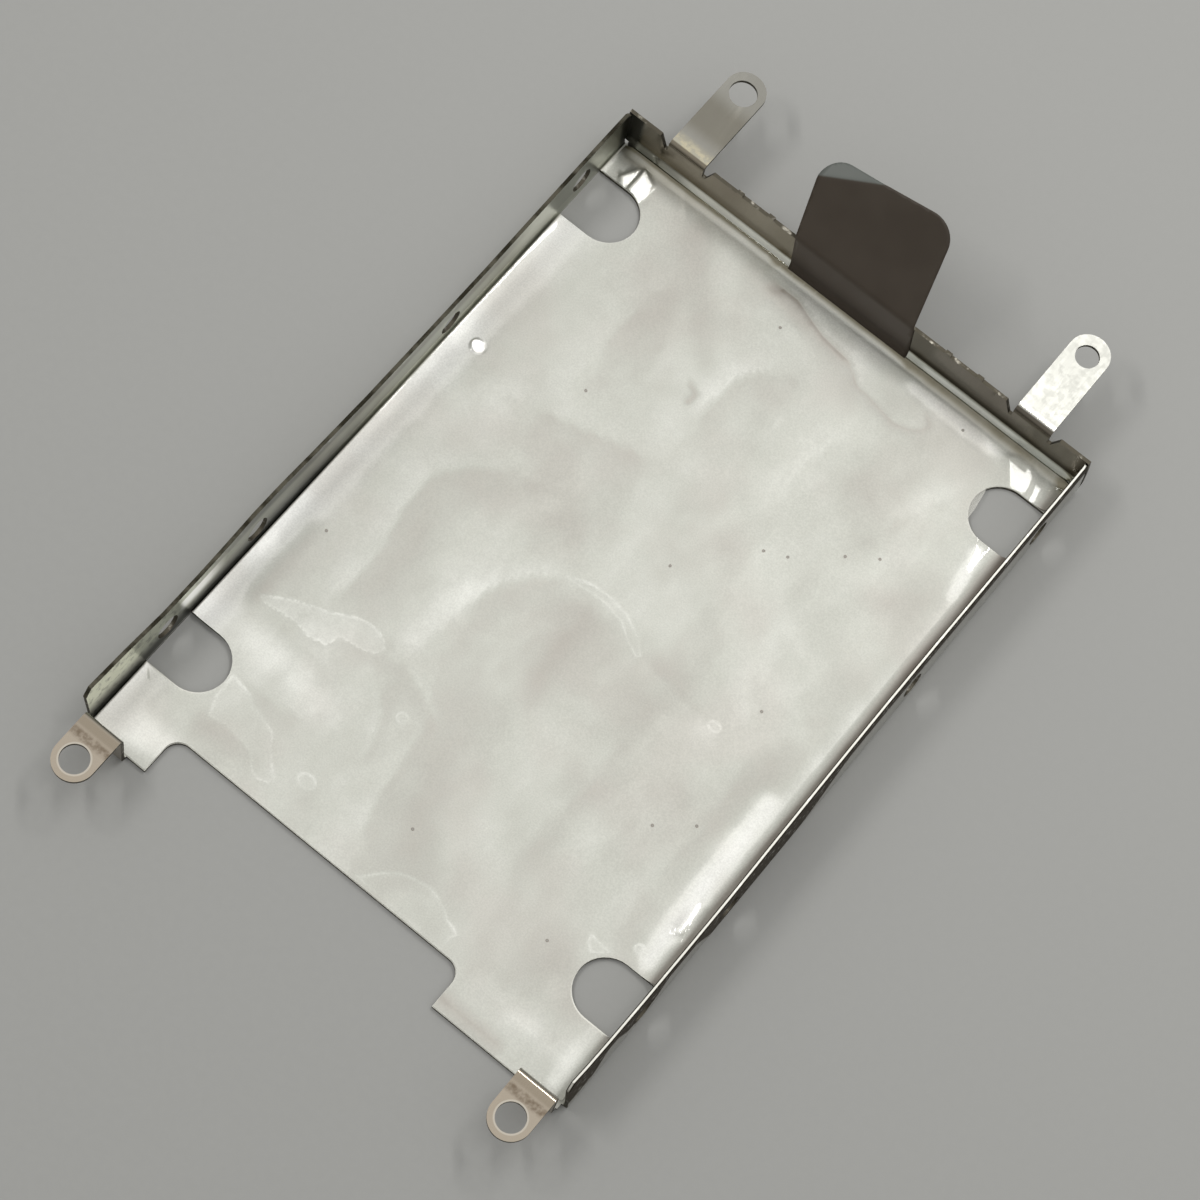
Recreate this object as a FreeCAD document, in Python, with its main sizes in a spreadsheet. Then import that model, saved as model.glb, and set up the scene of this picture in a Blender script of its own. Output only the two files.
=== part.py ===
import FreeCAD, Part
import math
import os
import Sketcher

# Drive caddy for a 2.5 inch drive: a folded stainless tray with four fixing
# ears, a clear insulating film on its floor and a bent film pull tab.
# The frame: +X across the bay, +Y from the connector end to the end wall,
# +Z up, origin on the underside of the floor at the middle of the bay.

doc = FreeCAD.newDocument("drive_caddy")

SIZES = [
    ("sheet_thickness", 0.5, "stainless sheet"),
    ("bend_radius", 0.35, "inside radius of every bend"),
    ("bay_width", 70.0, "between the side walls, drive 69.85"),
    ("bay_length", 100.1, "front edge to end wall, drive 100.0"),
    ("wall_height", 7.7, "underside to top edge of the walls"),
    ("corner_gap", 0.3, "open seam between side and end walls"),
    ("corner_relief", 0.3, "corner cut above the bends"),
    ("side_setback", 0.8, "near ends of the side walls behind the front edge"),
    ("side_chamfer", 1.0, "cut top corner at the near ends"),
    ("screw_hole_dia", 3.4, "clearance for M3 drive screws"),
    ("screw_height", 3.5, "drive screw axis above the underside"),
    ("screw_front", 14.2, "front edge to first drive screw"),
    ("screw_back", 9.3, "last drive screw to end wall, drive pitch 76.6"),
    ("inner_hole_near", 15.9, "first drive screw to second hole"),
    ("inner_hole_far", 51.3, "first drive screw to third hole"),
    ("cutout_width", 8.0, "floor cut-out along the wall"),
    ("cutout_depth", 8.5, "floor cut-out from the wall inwards"),
    ("notch_left", 26.3, "connector notch left of centre"),
    ("notch_right", 16.4, "connector notch right of centre"),
    ("notch_depth", 5.5, "connector notch from the front edge"),
    ("notch_radius", 2.0, "inner corners of the connector notch"),
    ("ear_width", 5.4, "fixing ears"),
    ("ear_height", 7.5, "top face of the ears above the underside"),
    ("ear_hole_dia", 3.6, "screw holes of three ears"),
    ("ear_locating_dia", 3.1, "tighter hole of the far right ear"),
    ("far_ear_offset", 26.6, "far ears left and right of centre"),
    ("far_ear_reach", 10.9, "end wall to far ear hole"),
    ("far_ear_tip", 0.35, "round end of the far ears beyond the hole"),
    ("near_ear_offset", 31.75, "near ears left and right of centre"),
    ("near_ear_reach", 4.75, "riser to near ear hole"),
    ("relief_width", 0.45, "bottom of the relief beside the far ears"),
    ("relief_mouth", 1.35, "relief at the top edge"),
    ("relief_depth", 2.3, "relief below the top edge"),
    ("stub_width", 0.9, "sheared tie stubs on the end wall"),
    ("stub_rise", 0.35, "height of the tie stubs"),
    ("stub_inner_offset", 13.6, "inner stubs left and right of centre"),
    ("stub_outer_offset", 18.4, "outer stubs left and right of centre"),
    ("film_thickness", 0.12, "insulating film"),
    ("film_margin", 0.1, "film edge inside the sheet edges and bends"),
    ("tab_thickness", 0.2, "pull tab film"),
    ("tab_width", 18.2, "pull tab across"),
    ("tab_reach", 12.7, "pull tab beyond the end wall"),
    ("tab_offset", -0.75, "pull tab from the centre of the end wall"),
    ("tab_lean", 48.0, "degrees of the free end above level"),
    ("tab_skew", 11.0, "degrees the free end turns left"),
    ("tab_glue_skew", 4.5, "degrees the glued end turns left"),
    ("tab_fold_radius", 0.9, "fold over the end wall"),
    ("tab_corner_radius", 3.3, "rounded free corners"),
    ("dog_ear_side", 3.0, "turned corner along the side"),
    ("dog_ear_end", 9.2, "turned corner along the end"),
    ("dog_ear_turn", 40.0, "degrees the corner turns back"),
]

sizes = doc.addObject("Spreadsheet::Sheet", "sizes")
for row, (alias, number, meaning) in enumerate(SIZES, 1):
    sizes.set("A%d" % row, meaning)
    sizes.set("B%d" % row, str(number))
    sizes.setAlias("B%d" % row, alias)
doc.recompute()


class Size:
    """A length with its number and the expression that ties it to the sheet."""

    def __init__(self, number, text):
        self.number = number
        self.text = text

    def joined(self, sign, other, number):
        other_text = other.text if isinstance(other, Size) else repr(other)
        return Size(number, "(%s %s %s)" % (self.text, sign, other_text))

    def __add__(self, other):
        return self.joined("+", other, self.number + plain(other))

    def __sub__(self, other):
        return self.joined("-", other, self.number - plain(other))

    def __mul__(self, other):
        return self.joined("*", other, self.number * plain(other))

    def __truediv__(self, other):
        return self.joined("/", other, self.number / plain(other))

    def __neg__(self):
        return Size(-self.number, "(0 - %s)" % self.text)


def plain(value):
    return value.number if isinstance(value, Size) else value


def cell(alias):
    return Size(float(sizes.get(alias)), "<<sizes>>." + alias)


sheet_thickness = cell("sheet_thickness")
bend_radius = cell("bend_radius")
wall_height = cell("wall_height")
ear_width = cell("ear_width")
ear_height = cell("ear_height")

underside = sheet_thickness * 0
half_bay = cell("bay_width") / 2
half_outside = half_bay + sheet_thickness
floor_edge = half_bay - bend_radius
outer_radius = bend_radius + sheet_thickness
front = -(cell("bay_length") / 2)
end_inside = cell("bay_length") / 2
end_outside = end_inside + sheet_thickness
end_bend = end_inside - bend_radius
side_near = front + cell("side_setback")
side_far = end_inside - cell("corner_gap")
first_screw = front + cell("screw_front")
last_screw = end_inside - cell("screw_back")

PAST = 2.0
NEAR = 1e-4


def origin_plane(body, role):
    return next(item for item in body.Origin.OriginFeatures if item.Role == role)


def sketch_on(body, name, role, offset=None):
    sketch = body.newObject("Sketcher::SketchObject", name)
    sketch.AttachmentSupport = [(origin_plane(body, role), "")]
    sketch.MapMode = "FlatFace"
    if offset is not None:
        sketch.setExpression("AttachmentOffset.Base.z", offset.text)
    return sketch


def tie_point(sketch, item, end, x, y):
    for axis, value in (("DistanceX", x), ("DistanceY", y)):
        if value is not None:
            tied = sketch.addConstraint(Sketcher.Constraint(axis, -1, 1, item, end, plain(value)))
            sketch.setExpression("Constraints[%d]" % tied, value.text)


def flat(x, y):
    return FreeCAD.Vector(plain(x), plain(y), 0)


def heading(begin, end):
    steps = [plain(end[axis]) - plain(begin[axis]) for axis in (0, 1)]
    return [(step > NEAR) - (step < -NEAR) for step in steps]


def draw_outline(sketch, corners):
    """A closed outline; a corner with a third value is a square bend of that radius."""
    count = len(corners)
    stops = []
    starts = []
    arcs = []
    for number, corner in enumerate(corners):
        x, y = corner[:2]
        if len(corner) == 2:
            stops.append((x, y))
            starts.append((x, y))
            arcs.append(None)
            continue
        radius = corner[2]
        before = heading(corners[number - 1], corner)
        after = heading(corner, corners[(number + 1) % count])
        stop = (x - radius * before[0], y - radius * before[1])
        start = (x + radius * after[0], y + radius * after[1])
        centre = (stop[0] + radius * after[0], stop[1] + radius * after[1])
        leftward = before[0] * after[1] - before[1] * after[0] > 0
        edge = stop if leftward else start
        angle = math.atan2(plain(edge[1]) - plain(centre[1]), plain(edge[0]) - plain(centre[0]))
        circle = Part.Circle(flat(*centre), FreeCAD.Vector(0, 0, 1), plain(radius))
        arc = sketch.addGeometry(Part.ArcOfCircle(circle, angle, angle + math.pi / 2), False)
        stops.append(stop)
        starts.append(start)
        arcs.append((arc, centre, leftward, after))
    lines = []
    for number in range(count):
        segment = Part.LineSegment(flat(*starts[number]), flat(*stops[(number + 1) % count]))
        lines.append(sketch.addGeometry(segment, False))
    for number in range(count):
        before_line = lines[number - 1]
        after_line = lines[number]
        if arcs[number] is None:
            sketch.addConstraint(Sketcher.Constraint("Coincident", before_line, 2, after_line, 1))
            tie_point(sketch, after_line, 1, *starts[number])
            continue
        arc, centre, leftward, after = arcs[number]
        arc_first, arc_last = (1, 2) if leftward else (2, 1)
        sketch.addConstraint(Sketcher.Constraint("Coincident", before_line, 2, arc, arc_first))
        sketch.addConstraint(Sketcher.Constraint("Coincident", arc, arc_last, after_line, 1))
        tie_point(sketch, before_line, 2, *stops[number])
        tie_point(sketch, arc, 3, *centre)
        start_x, start_y = starts[number]
        tie_point(sketch, after_line, 1, start_x if after[0] else None, start_y if after[1] else None)


def draw_circle(sketch, x, y, diameter):
    circle = Part.Circle(flat(x, y), FreeCAD.Vector(0, 0, 1), plain(diameter) / 2)
    item = sketch.addGeometry(circle, False)
    tie_point(sketch, item, 3, x, y)
    tied = sketch.addConstraint(Sketcher.Constraint("Diameter", item, plain(diameter)))
    sketch.setExpression("Constraints[%d]" % tied, diameter.text)


def draw_tongue(sketch, way, root, turn, middle, width):
    """An outline with a square root and a half round end, along x or y."""
    axis, sign = way
    cross = width / 2 * (sign if axis == "y" else -sign)
    spots = [(root, middle + cross), (turn, middle + cross), (turn, middle - cross), (root, middle - cross)]
    centre = (turn, middle)
    if axis == "y":
        spots = [(y, x) for x, y in spots]
        centre = (middle, turn)
    begin = math.atan2(plain(spots[1][1]) - plain(centre[1]), plain(spots[1][0]) - plain(centre[0]))
    circle = Part.Circle(flat(*centre), FreeCAD.Vector(0, 0, 1), plain(width) / 2)
    arc = sketch.addGeometry(Part.ArcOfCircle(circle, begin, begin + math.pi), False)
    first = sketch.addGeometry(Part.LineSegment(flat(*spots[0]), flat(*spots[1])), False)
    last = sketch.addGeometry(Part.LineSegment(flat(*spots[2]), flat(*spots[3])), False)
    back = sketch.addGeometry(Part.LineSegment(flat(*spots[3]), flat(*spots[0])), False)
    for joint in ((first, 2, arc, 1), (arc, 2, last, 1), (last, 2, back, 1), (back, 2, first, 1)):
        sketch.addConstraint(Sketcher.Constraint("Coincident", *joint))
    tie_point(sketch, first, 1, *spots[0])
    tie_point(sketch, first, 2, *spots[1])
    tie_point(sketch, arc, 3, *centre)
    tie_point(sketch, last, 2, *spots[3])
    if axis == "y":
        tie_point(sketch, last, 1, None, turn)
    else:
        tie_point(sketch, last, 1, turn, None)


def pad(body, name, sketch, length, both_ways=True):
    feature = body.newObject("PartDesign::Pad", name)
    feature.Profile = sketch
    feature.SideType = "Symmetric" if both_ways else "One side"
    feature.setExpression("Length", length.text)
    doc.recompute()
    return feature


def pocket(body, name, sketch, length):
    before = body.Shape.Volume
    feature = body.newObject("PartDesign::Pocket", name)
    feature.Profile = sketch
    feature.SideType = "Symmetric"
    feature.setExpression("Length", length.text)
    doc.recompute()
    if feature.Shape.Volume > before - NEAR:
        raise RuntimeError("%s cuts nothing" % name)
    return feature


def rectangle(x_low, x_high, y_low, y_high):
    return [(x_low, y_low), (x_high, y_low), (x_high, y_high), (x_low, y_high)]


# Tray: one blank of sheet, folded up on three sides, with the ears bent out of it
tray = doc.addObject("PartDesign::Body", "tray")
tray.Label = "tray"

channel = sketch_on(tray, "channel_profile", "XZ_Plane", -((front + end_bend) / 2))
draw_outline(channel, [
    (-half_outside, underside, outer_radius),
    (half_outside, underside, outer_radius),
    (half_outside, wall_height),
    (half_bay, wall_height),
    (half_bay, sheet_thickness, bend_radius),
    (-half_bay, sheet_thickness, bend_radius),
    (-half_bay, wall_height),
    (-half_outside, wall_height),
])
pad(tray, "channel", channel, end_bend - front)

# Near ends of the side walls, set back from the front edge with a cut top corner
setback_cut = sketch_on(tray, "side_setback_outline", "XY_Plane")
for side in (-1, 1):
    draw_outline(setback_cut, rectangle(floor_edge * side, (half_outside + PAST) * side,
                                        front - PAST, side_near))
pocket(tray, "side_setback", setback_cut, (wall_height + PAST) * 2)

corner_cut = sketch_on(tray, "side_corner_outline", "YZ_Plane")
draw_outline(corner_cut, [
    (side_near, wall_height - cell("side_chamfer")),
    (side_near + cell("side_chamfer"), wall_height),
    (side_near + cell("side_chamfer"), wall_height + PAST),
    (side_near - PAST, wall_height + PAST),
    (side_near - PAST, wall_height - cell("side_chamfer")),
])
pocket(tray, "side_corners", corner_cut, (half_outside + PAST) * 2)

# Far ends of the side walls, carried past the end bend to the open corner seams
seam_bottom = outer_radius + cell("corner_relief")
seam_ends = sketch_on(tray, "side_far_profile", "XZ_Plane", -((end_bend + side_far) / 2))
for side in (-1, 1):
    draw_outline(seam_ends, rectangle(half_bay * side, half_outside * side, seam_bottom, wall_height))
pad(tray, "side_far_ends", seam_ends, side_far - end_bend)

# End wall: its bend between the corner reliefs, then the wall across the whole width
end_profile = sketch_on(tray, "end_bend_profile", "YZ_Plane")
draw_outline(end_profile, [
    (end_bend - sheet_thickness, underside),
    (end_outside, underside, outer_radius),
    (end_outside, seam_bottom),
    (end_inside, seam_bottom),
    (end_inside, sheet_thickness, bend_radius),
    (end_bend - sheet_thickness, sheet_thickness),
])
pad(tray, "end_bend", end_profile, floor_edge * 2)

end_plate = sketch_on(tray, "end_wall_outline", "XZ_Plane", -(end_inside + sheet_thickness / 2))
draw_outline(end_plate, rectangle(-half_outside, half_outside, seam_bottom, wall_height))
pad(tray, "end_wall", end_plate, sheet_thickness)

# Far ears, bent outwards from the top of the end wall between two relief cuts
far_hole = end_outside + cell("far_ear_reach")
far_flat = end_outside + outer_radius
relief_bottom = wall_height - cell("relief_depth")
relief_reach = ear_width / 2 + cell("relief_width")
mouth_reach = ear_width / 2 + cell("relief_mouth")
relief_cut = sketch_on(tray, "far_relief_outline", "XZ_Plane", -(end_inside + sheet_thickness / 2))
for side in (-1, 1):
    ear_middle = cell("far_ear_offset") * side
    draw_outline(relief_cut, [
        (ear_middle - relief_reach, relief_bottom),
        (ear_middle + relief_reach, relief_bottom),
        (ear_middle + mouth_reach, wall_height),
        (ear_middle + mouth_reach, wall_height + PAST),
        (ear_middle - mouth_reach, wall_height + PAST),
        (ear_middle - mouth_reach, wall_height),
    ])
pocket(tray, "far_relief", relief_cut, sheet_thickness * 4)

for side, word in ((-1, "left"), (1, "right")):
    profile = sketch_on(tray, "far_%s_ear_profile" % word, "YZ_Plane", cell("far_ear_offset") * side)
    draw_outline(profile, [
        (end_inside, relief_bottom),
        (end_outside, relief_bottom),
        (end_outside, ear_height - sheet_thickness, bend_radius),
        (far_flat, ear_height - sheet_thickness),
        (far_flat, ear_height),
        (end_inside, ear_height, outer_radius),
    ])
    pad(tray, "far_%s_ear" % word, profile, ear_width)

# Near ears, each on a riser bent up from the front edge, clear of the drive
riser_back = front - bend_radius
riser_face = riser_back - sheet_thickness
near_hole = riser_face - cell("near_ear_reach")
near_flat = riser_face - outer_radius
for side, word in ((-1, "left"), (1, "right")):
    profile = sketch_on(tray, "near_%s_ear_profile" % word, "YZ_Plane", cell("near_ear_offset") * side)
    draw_outline(profile, [
        (front + sheet_thickness, underside),
        (front + sheet_thickness, sheet_thickness),
        (riser_back, sheet_thickness, bend_radius),
        (riser_back, ear_height, outer_radius),
        (near_flat, ear_height),
        (near_flat, ear_height - sheet_thickness),
        (riser_face, ear_height - sheet_thickness, bend_radius),
        (riser_face, underside, outer_radius),
    ])
    pad(tray, "near_%s_ear" % word, profile, ear_width)

# Flat ends of the four ears, half round about their screw holes
ear_flats = sketch_on(tray, "ear_flat_outline", "XY_Plane", ear_height - sheet_thickness / 2)
for side in (-1, 1):
    far_middle = cell("far_ear_offset") * side
    near_middle = cell("near_ear_offset") * side
    draw_tongue(ear_flats, ("y", 1), far_flat, far_hole + cell("far_ear_tip"), far_middle, ear_width)
    draw_tongue(ear_flats, ("y", -1), near_flat, near_hole, near_middle, ear_width)
    draw_circle(ear_flats, far_middle, far_hole, cell("ear_locating_dia" if side > 0 else "ear_hole_dia"))
    draw_circle(ear_flats, near_middle, near_hole, cell("ear_hole_dia"))
pad(tray, "ear_flats", ear_flats, sheet_thickness)

# Floor cut-outs beside the drive screws, through the bends to the faces of the walls
cutouts = sketch_on(tray, "cutout_outline", "XY_Plane")
for side in (-1, 1):
    for middle in (first_screw, last_screw):
        cutout_turn = half_bay - cell("cutout_depth") + cell("cutout_width") / 2
        draw_tongue(cutouts, ("x", -side), half_bay * side, cutout_turn * side, middle,
                    cell("cutout_width"))
pocket(tray, "cutouts", cutouts, sheet_thickness * 4)

# Notch for the drive connector, with round inner corners
notch_end = front + cell("notch_depth")
notch = sketch_on(tray, "notch_outline", "XY_Plane")
draw_outline(notch, [
    (-cell("notch_left"), front - PAST),
    (cell("notch_right"), front - PAST),
    (cell("notch_right"), notch_end, cell("notch_radius")),
    (-cell("notch_left"), notch_end, cell("notch_radius")),
])
pocket(tray, "notch", notch, sheet_thickness * 4)

# Drive screw holes and two inner holes, through both side walls
side_holes = sketch_on(tray, "side_hole_outline", "YZ_Plane")
for hole_y in (first_screw, first_screw + cell("inner_hole_near"),
               first_screw + cell("inner_hole_far"), last_screw):
    draw_circle(side_holes, hole_y, cell("screw_height"), cell("screw_hole_dia"))
pocket(tray, "side_holes", side_holes, (half_outside + PAST) * 2)

# Sheared tie stubs left on the top edge of the end wall
stubs = sketch_on(tray, "stub_outline", "XZ_Plane", -(end_inside + sheet_thickness / 2))
for side in (-1, 1):
    for offset in (cell("stub_inner_offset"), cell("stub_outer_offset")):
        draw_outline(stubs, rectangle(offset * side - cell("stub_width") / 2,
                                      offset * side + cell("stub_width") / 2,
                                      wall_height, wall_height + cell("stub_rise")))
pad(tray, "stubs", stubs, sheet_thickness)

# Insulating film: clear film bonded to the floor, die cut to the same outline
film = doc.addObject("PartDesign::Body", "insulating_film")
film.Label = "insulating_film"
film_margin = cell("film_margin")
film_edge = floor_edge - film_margin
film_front = front + film_margin
film_outline = sketch_on(film, "film_outline", "XY_Plane", sheet_thickness)
draw_outline(film_outline, rectangle(-film_edge, film_edge, film_front, end_bend - film_margin))
pad(film, "film_sheet", film_outline, cell("film_thickness"), both_ways=False)

film_cutouts = sketch_on(film, "film_cutout_outline", "XY_Plane", sheet_thickness)
for side in (-1, 1):
    for middle in (first_screw, last_screw):
        cutout_turn = half_bay - cell("cutout_depth") + cell("cutout_width") / 2
        draw_tongue(film_cutouts, ("x", -side), half_bay * side, cutout_turn * side, middle,
                    cell("cutout_width") + film_margin * 2)
pocket(film, "film_cutouts", film_cutouts, cell("film_thickness") * 4)

film_left = -(cell("notch_left") + film_margin)
film_right = cell("notch_right") + film_margin
film_radius = cell("notch_radius") + film_margin
film_notch = sketch_on(film, "film_notch_outline", "XY_Plane", sheet_thickness)
draw_outline(film_notch, [
    (film_left, front - PAST),
    (film_right, front - PAST),
    (film_right, notch_end + film_margin, film_radius),
    (film_left, notch_end + film_margin, film_radius),
])
pocket(film, "film_notch", film_notch, cell("film_thickness") * 4)


# Pull tab: a strip of film glued up the end wall, folded back over its top
# edge, with rounded free corners, one of them turned back along a crease
def tab_shape():
    thick = plain(cell("tab_thickness"))
    half_width = plain(cell("tab_width")) / 2
    reach = plain(cell("tab_reach"))
    middle = plain(cell("tab_offset"))
    lean = math.radians(plain(cell("tab_lean")))
    skew = math.radians(plain(cell("tab_skew")))
    glue_skew = math.radians(plain(cell("tab_glue_skew")))
    fold = plain(cell("tab_fold_radius"))
    corner = plain(cell("tab_corner_radius"))
    ear_side = plain(cell("dog_ear_side"))
    ear_end = plain(cell("dog_ear_end"))
    ear_turn = plain(cell("dog_ear_turn"))
    wall_y = plain(end_inside)
    wall_top = plain(wall_height)
    floor_z = plain(sheet_thickness)
    bend = plain(bend_radius)

    def profile_point(centre, radius, angle):
        return FreeCAD.Vector(0, centre[0] + radius * math.cos(angle),
                              centre[1] + radius * math.sin(angle))

    def arc(centre, radius, start, end):
        points = [profile_point(centre, radius, angle) for angle in (start, (start + end) / 2, end)]
        return Part.Arc(*points).toShape()

    # The strip's section, from the floor bend up the wall and over its top edge
    foot = (wall_y - bend, floor_z + bend)
    crest = (wall_y + fold, wall_top)
    down = -math.pi / 2
    crest_end = math.pi / 2 + lean
    along = FreeCAD.Vector(0, math.cos(lean), math.sin(lean))
    out = FreeCAD.Vector(0, -math.sin(lean), math.cos(lean))
    free_length = reach + half_width
    rear = [arc(foot, bend, down, 0),
            Part.makeLine(profile_point(foot, bend, 0), profile_point(crest, fold, math.pi)),
            arc(crest, fold, math.pi, crest_end)]
    rear_end = profile_point(crest, fold, crest_end)
    face = [arc(foot, bend - thick, down, 0),
            Part.makeLine(profile_point(foot, bend - thick, 0),
                          profile_point(crest, fold + thick, math.pi)),
            arc(crest, fold + thick, math.pi, crest_end)]
    face_end = profile_point(crest, fold + thick, crest_end)
    edges = rear + face
    edges.append(Part.makeLine(rear_end, rear_end + along * free_length))
    edges.append(Part.makeLine(rear_end + along * free_length, face_end + along * free_length))
    edges.append(Part.makeLine(face_end, face_end + along * free_length))
    edges.append(Part.makeLine(profile_point(foot, bend, down), profile_point(foot, bend - thick, down)))
    section = Part.Face(Part.Wire(Part.__sortEdges__(edges)))
    spare = 2 * half_width
    section.translate(FreeCAD.Vector(middle - spare, 0, 0))
    strip = section.extrude(FreeCAD.Vector(2 * spare, 0, 0))

    # The free end's outline in its own plane, square to a line turned by the skew
    start = FreeCAD.Vector(middle, wall_y, wall_top)
    across = FreeCAD.Vector(1, 0, 0)
    strip_axis = along * math.cos(skew) - across * math.sin(skew)
    strip_right = across * math.cos(skew) + along * math.sin(skew)

    def place(right, forward):
        return start + strip_right * right + strip_axis * forward

    depth = 4 * (fold + thick)
    tail = -half_width * math.tan(skew) - depth
    bow = corner * (1 - math.sqrt(0.5))

    def corner_arc(side):
        return Part.Arc(place(side * half_width, reach - corner),
                        place(side * (half_width - bow), reach - bow),
                        place(side * (half_width - corner), reach)).toShape()

    outline = [Part.makeLine(place(-half_width, tail), place(-half_width, reach - corner)),
               corner_arc(-1),
               Part.makeLine(place(corner - half_width, reach), place(half_width - corner, reach)),
               corner_arc(1),
               Part.makeLine(place(half_width, reach - corner), place(half_width, tail)),
               Part.makeLine(place(half_width, tail), place(-half_width, tail))]
    free_area = Part.Face(Part.Wire(Part.__sortEdges__(outline)))
    free_area.translate(out * -depth)
    free_region = free_area.extrude(out * (2 * depth))
    above = Part.makeBox(4 * spare, 4 * spare, 4 * spare,
                         FreeCAD.Vector(middle - 2 * spare, wall_y - spare, wall_top))
    free_end = strip.common(free_region).common(above)

    # The glued end's outline on the wall, carried down from the fold line
    half_fold = half_width / math.cos(skew)
    drop = wall_top - floor_z
    slide = math.tan(glue_skew) * drop
    glued_corners = [FreeCAD.Vector(middle - half_fold, wall_y - spare, wall_top),
                     FreeCAD.Vector(middle + half_fold, wall_y - spare, wall_top),
                     FreeCAD.Vector(middle + half_fold + slide, wall_y - spare, floor_z),
                     FreeCAD.Vector(middle - half_fold + slide, wall_y - spare, floor_z)]
    glued_region = Part.Face(Part.makePolygon(glued_corners + glued_corners[:1])).extrude(
        FreeCAD.Vector(0, 2 * spare, 0))
    glued_end = strip.common(glued_region)

    # The turned corner, hinged on a round crease at the middle of the film
    middle_plane = out * ((rear_end - start).dot(out) + thick / 2)
    crease_start = place(-half_width, reach - ear_side) + middle_plane
    crease_stop = place(ear_end - half_width, reach) + middle_plane
    crease = (crease_stop - crease_start).normalize()
    toward = crease.cross(out) * -1
    crease_start = crease_start - crease * spare
    crease_stop = crease_stop + crease * spare
    beyond = [crease_start, crease_stop, crease_stop + toward * spare, crease_start + toward * spare]
    corner_area = Part.Face(Part.makePolygon(beyond + beyond[:1]))
    corner_area.translate(out * -depth)
    corner_region = corner_area.extrude(out * (2 * depth))
    flap = free_end.common(corner_region)
    hinge_radius = 0.45 * thick
    hinge = Part.makeCylinder(hinge_radius, (crease_stop - crease_start).Length, crease_start, crease)
    hinge = hinge.common(free_end)
    flap.rotate(crease_start, out.cross(toward), ear_turn)
    return free_end.cut(corner_region).fuse([glued_end, hinge, flap]).removeSplitter()


pull_tab = doc.addObject("Part::Feature", "pull_tab")
pull_tab.Label = "pull_tab"
pull_tab.Shape = tab_shape()
pull_tab.Placement = FreeCAD.Placement()
doc.recompute()

for item in doc.Objects:
    if "Invalid" in item.State or "Error" in item.State:
        raise RuntimeError("%s is %s" % (item.Name, item.State))

nodes = [tray, film, pull_tab]
for node in nodes:
    if node.Shape.isNull() or not node.Shape.isValid():
        raise RuntimeError("%s has no valid shape" % node.Label)

os.makedirs("parts", exist_ok=True)
for node in nodes:
    node.Shape.exportStep("parts/%s.step" % node.Label)
    print(node.Label, len(node.Shape.Solids), round(node.Shape.Volume, 3))
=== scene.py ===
# Laptop drive caddy: a folded stainless tray, the clear film on its floor and the film tab it is pulled
# out by. Lengths are millimetres in the frame's axes; MM turns them into the frame's metres.
import math

import bmesh
import bpy
import numpy as np
from mathutils import Matrix, Vector, noise
from mathutils.geometry import delaunay_2d_cdt


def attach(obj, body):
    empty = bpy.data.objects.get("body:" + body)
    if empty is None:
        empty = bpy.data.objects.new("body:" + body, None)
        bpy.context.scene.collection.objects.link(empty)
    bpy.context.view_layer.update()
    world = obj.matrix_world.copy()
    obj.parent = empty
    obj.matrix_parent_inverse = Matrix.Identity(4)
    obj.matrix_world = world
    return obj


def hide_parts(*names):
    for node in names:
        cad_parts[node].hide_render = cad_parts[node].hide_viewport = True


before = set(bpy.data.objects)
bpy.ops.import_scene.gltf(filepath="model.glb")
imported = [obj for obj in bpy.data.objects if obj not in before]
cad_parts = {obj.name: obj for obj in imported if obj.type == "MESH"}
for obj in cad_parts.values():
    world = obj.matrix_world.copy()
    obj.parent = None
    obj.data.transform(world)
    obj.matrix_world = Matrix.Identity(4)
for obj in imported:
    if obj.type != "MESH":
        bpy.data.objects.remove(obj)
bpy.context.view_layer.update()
MM = 0.001


# Tray: one blank of bright annealed stainless sheet, pierced and sheared flat, then folded up on three
# sides. The four ears are the last bends. Handling has left small bows in the walls and ears, and stains
# by the bends. Light, shade and reflections on the bends and inner walls are painted into the steel's
# colour.

def welded_copy(node_name):
    """The node's shape with its split vertices joined and its flat faces whole again."""
    shape = bmesh.new()
    shape.from_mesh(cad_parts[node_name].data)
    bmesh.ops.remove_doubles(shape, verts=shape.verts[:], dist=0.001 * MM)
    bmesh.ops.dissolve_limit(shape, angle_limit=math.radians(0.4),
                             verts=shape.verts[:], edges=shape.edges[:])
    return shape


def cut_across(shape, way, places):
    """Adds a row of edges through the whole shape at each place along one way."""
    for place in places:
        everything = shape.verts[:] + shape.edges[:] + shape.faces[:]
        bmesh.ops.bisect_plane(shape, geom=everything, dist=0.0001 * MM,
                               plane_co=way * (place * MM), plane_no=way)


def between(value, marks):
    """The amount at a place, in straight runs between (place, amount) marks and level beyond them."""
    places = [mark[0] for mark in marks]
    amounts = [mark[1] for mark in marks]
    return np.interp(value, places, amounts)


# How far the top of each side wall stands from square, along the wall
LEFT_WALL_LEAN = [(-49.6, -0.76), (-46.0, -0.65), (-42.0, -0.52), (-36.0, -0.22), (-30.0, -0.20),
                  (-25.0, -0.26), (-20.0, -0.38), (-15.0, -0.34), (-10.0, -0.17), (0.0, 0.04),
                  (10.0, 0.07), (22.0, 0.07), (30.0, -0.02), (45.0, -0.15)]
RIGHT_WALL_LEAN = [(-48.0, -0.62), (-46.0, -0.51), (-42.0, -0.41), (-36.0, -0.33), (-28.0, -0.29),
                   (-20.0, -0.29), (-10.0, -0.40), (0.0, -0.50), (10.0, -0.56), (20.0, -0.54),
                   (28.0, -0.49), (46.0, -0.38)]

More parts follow.
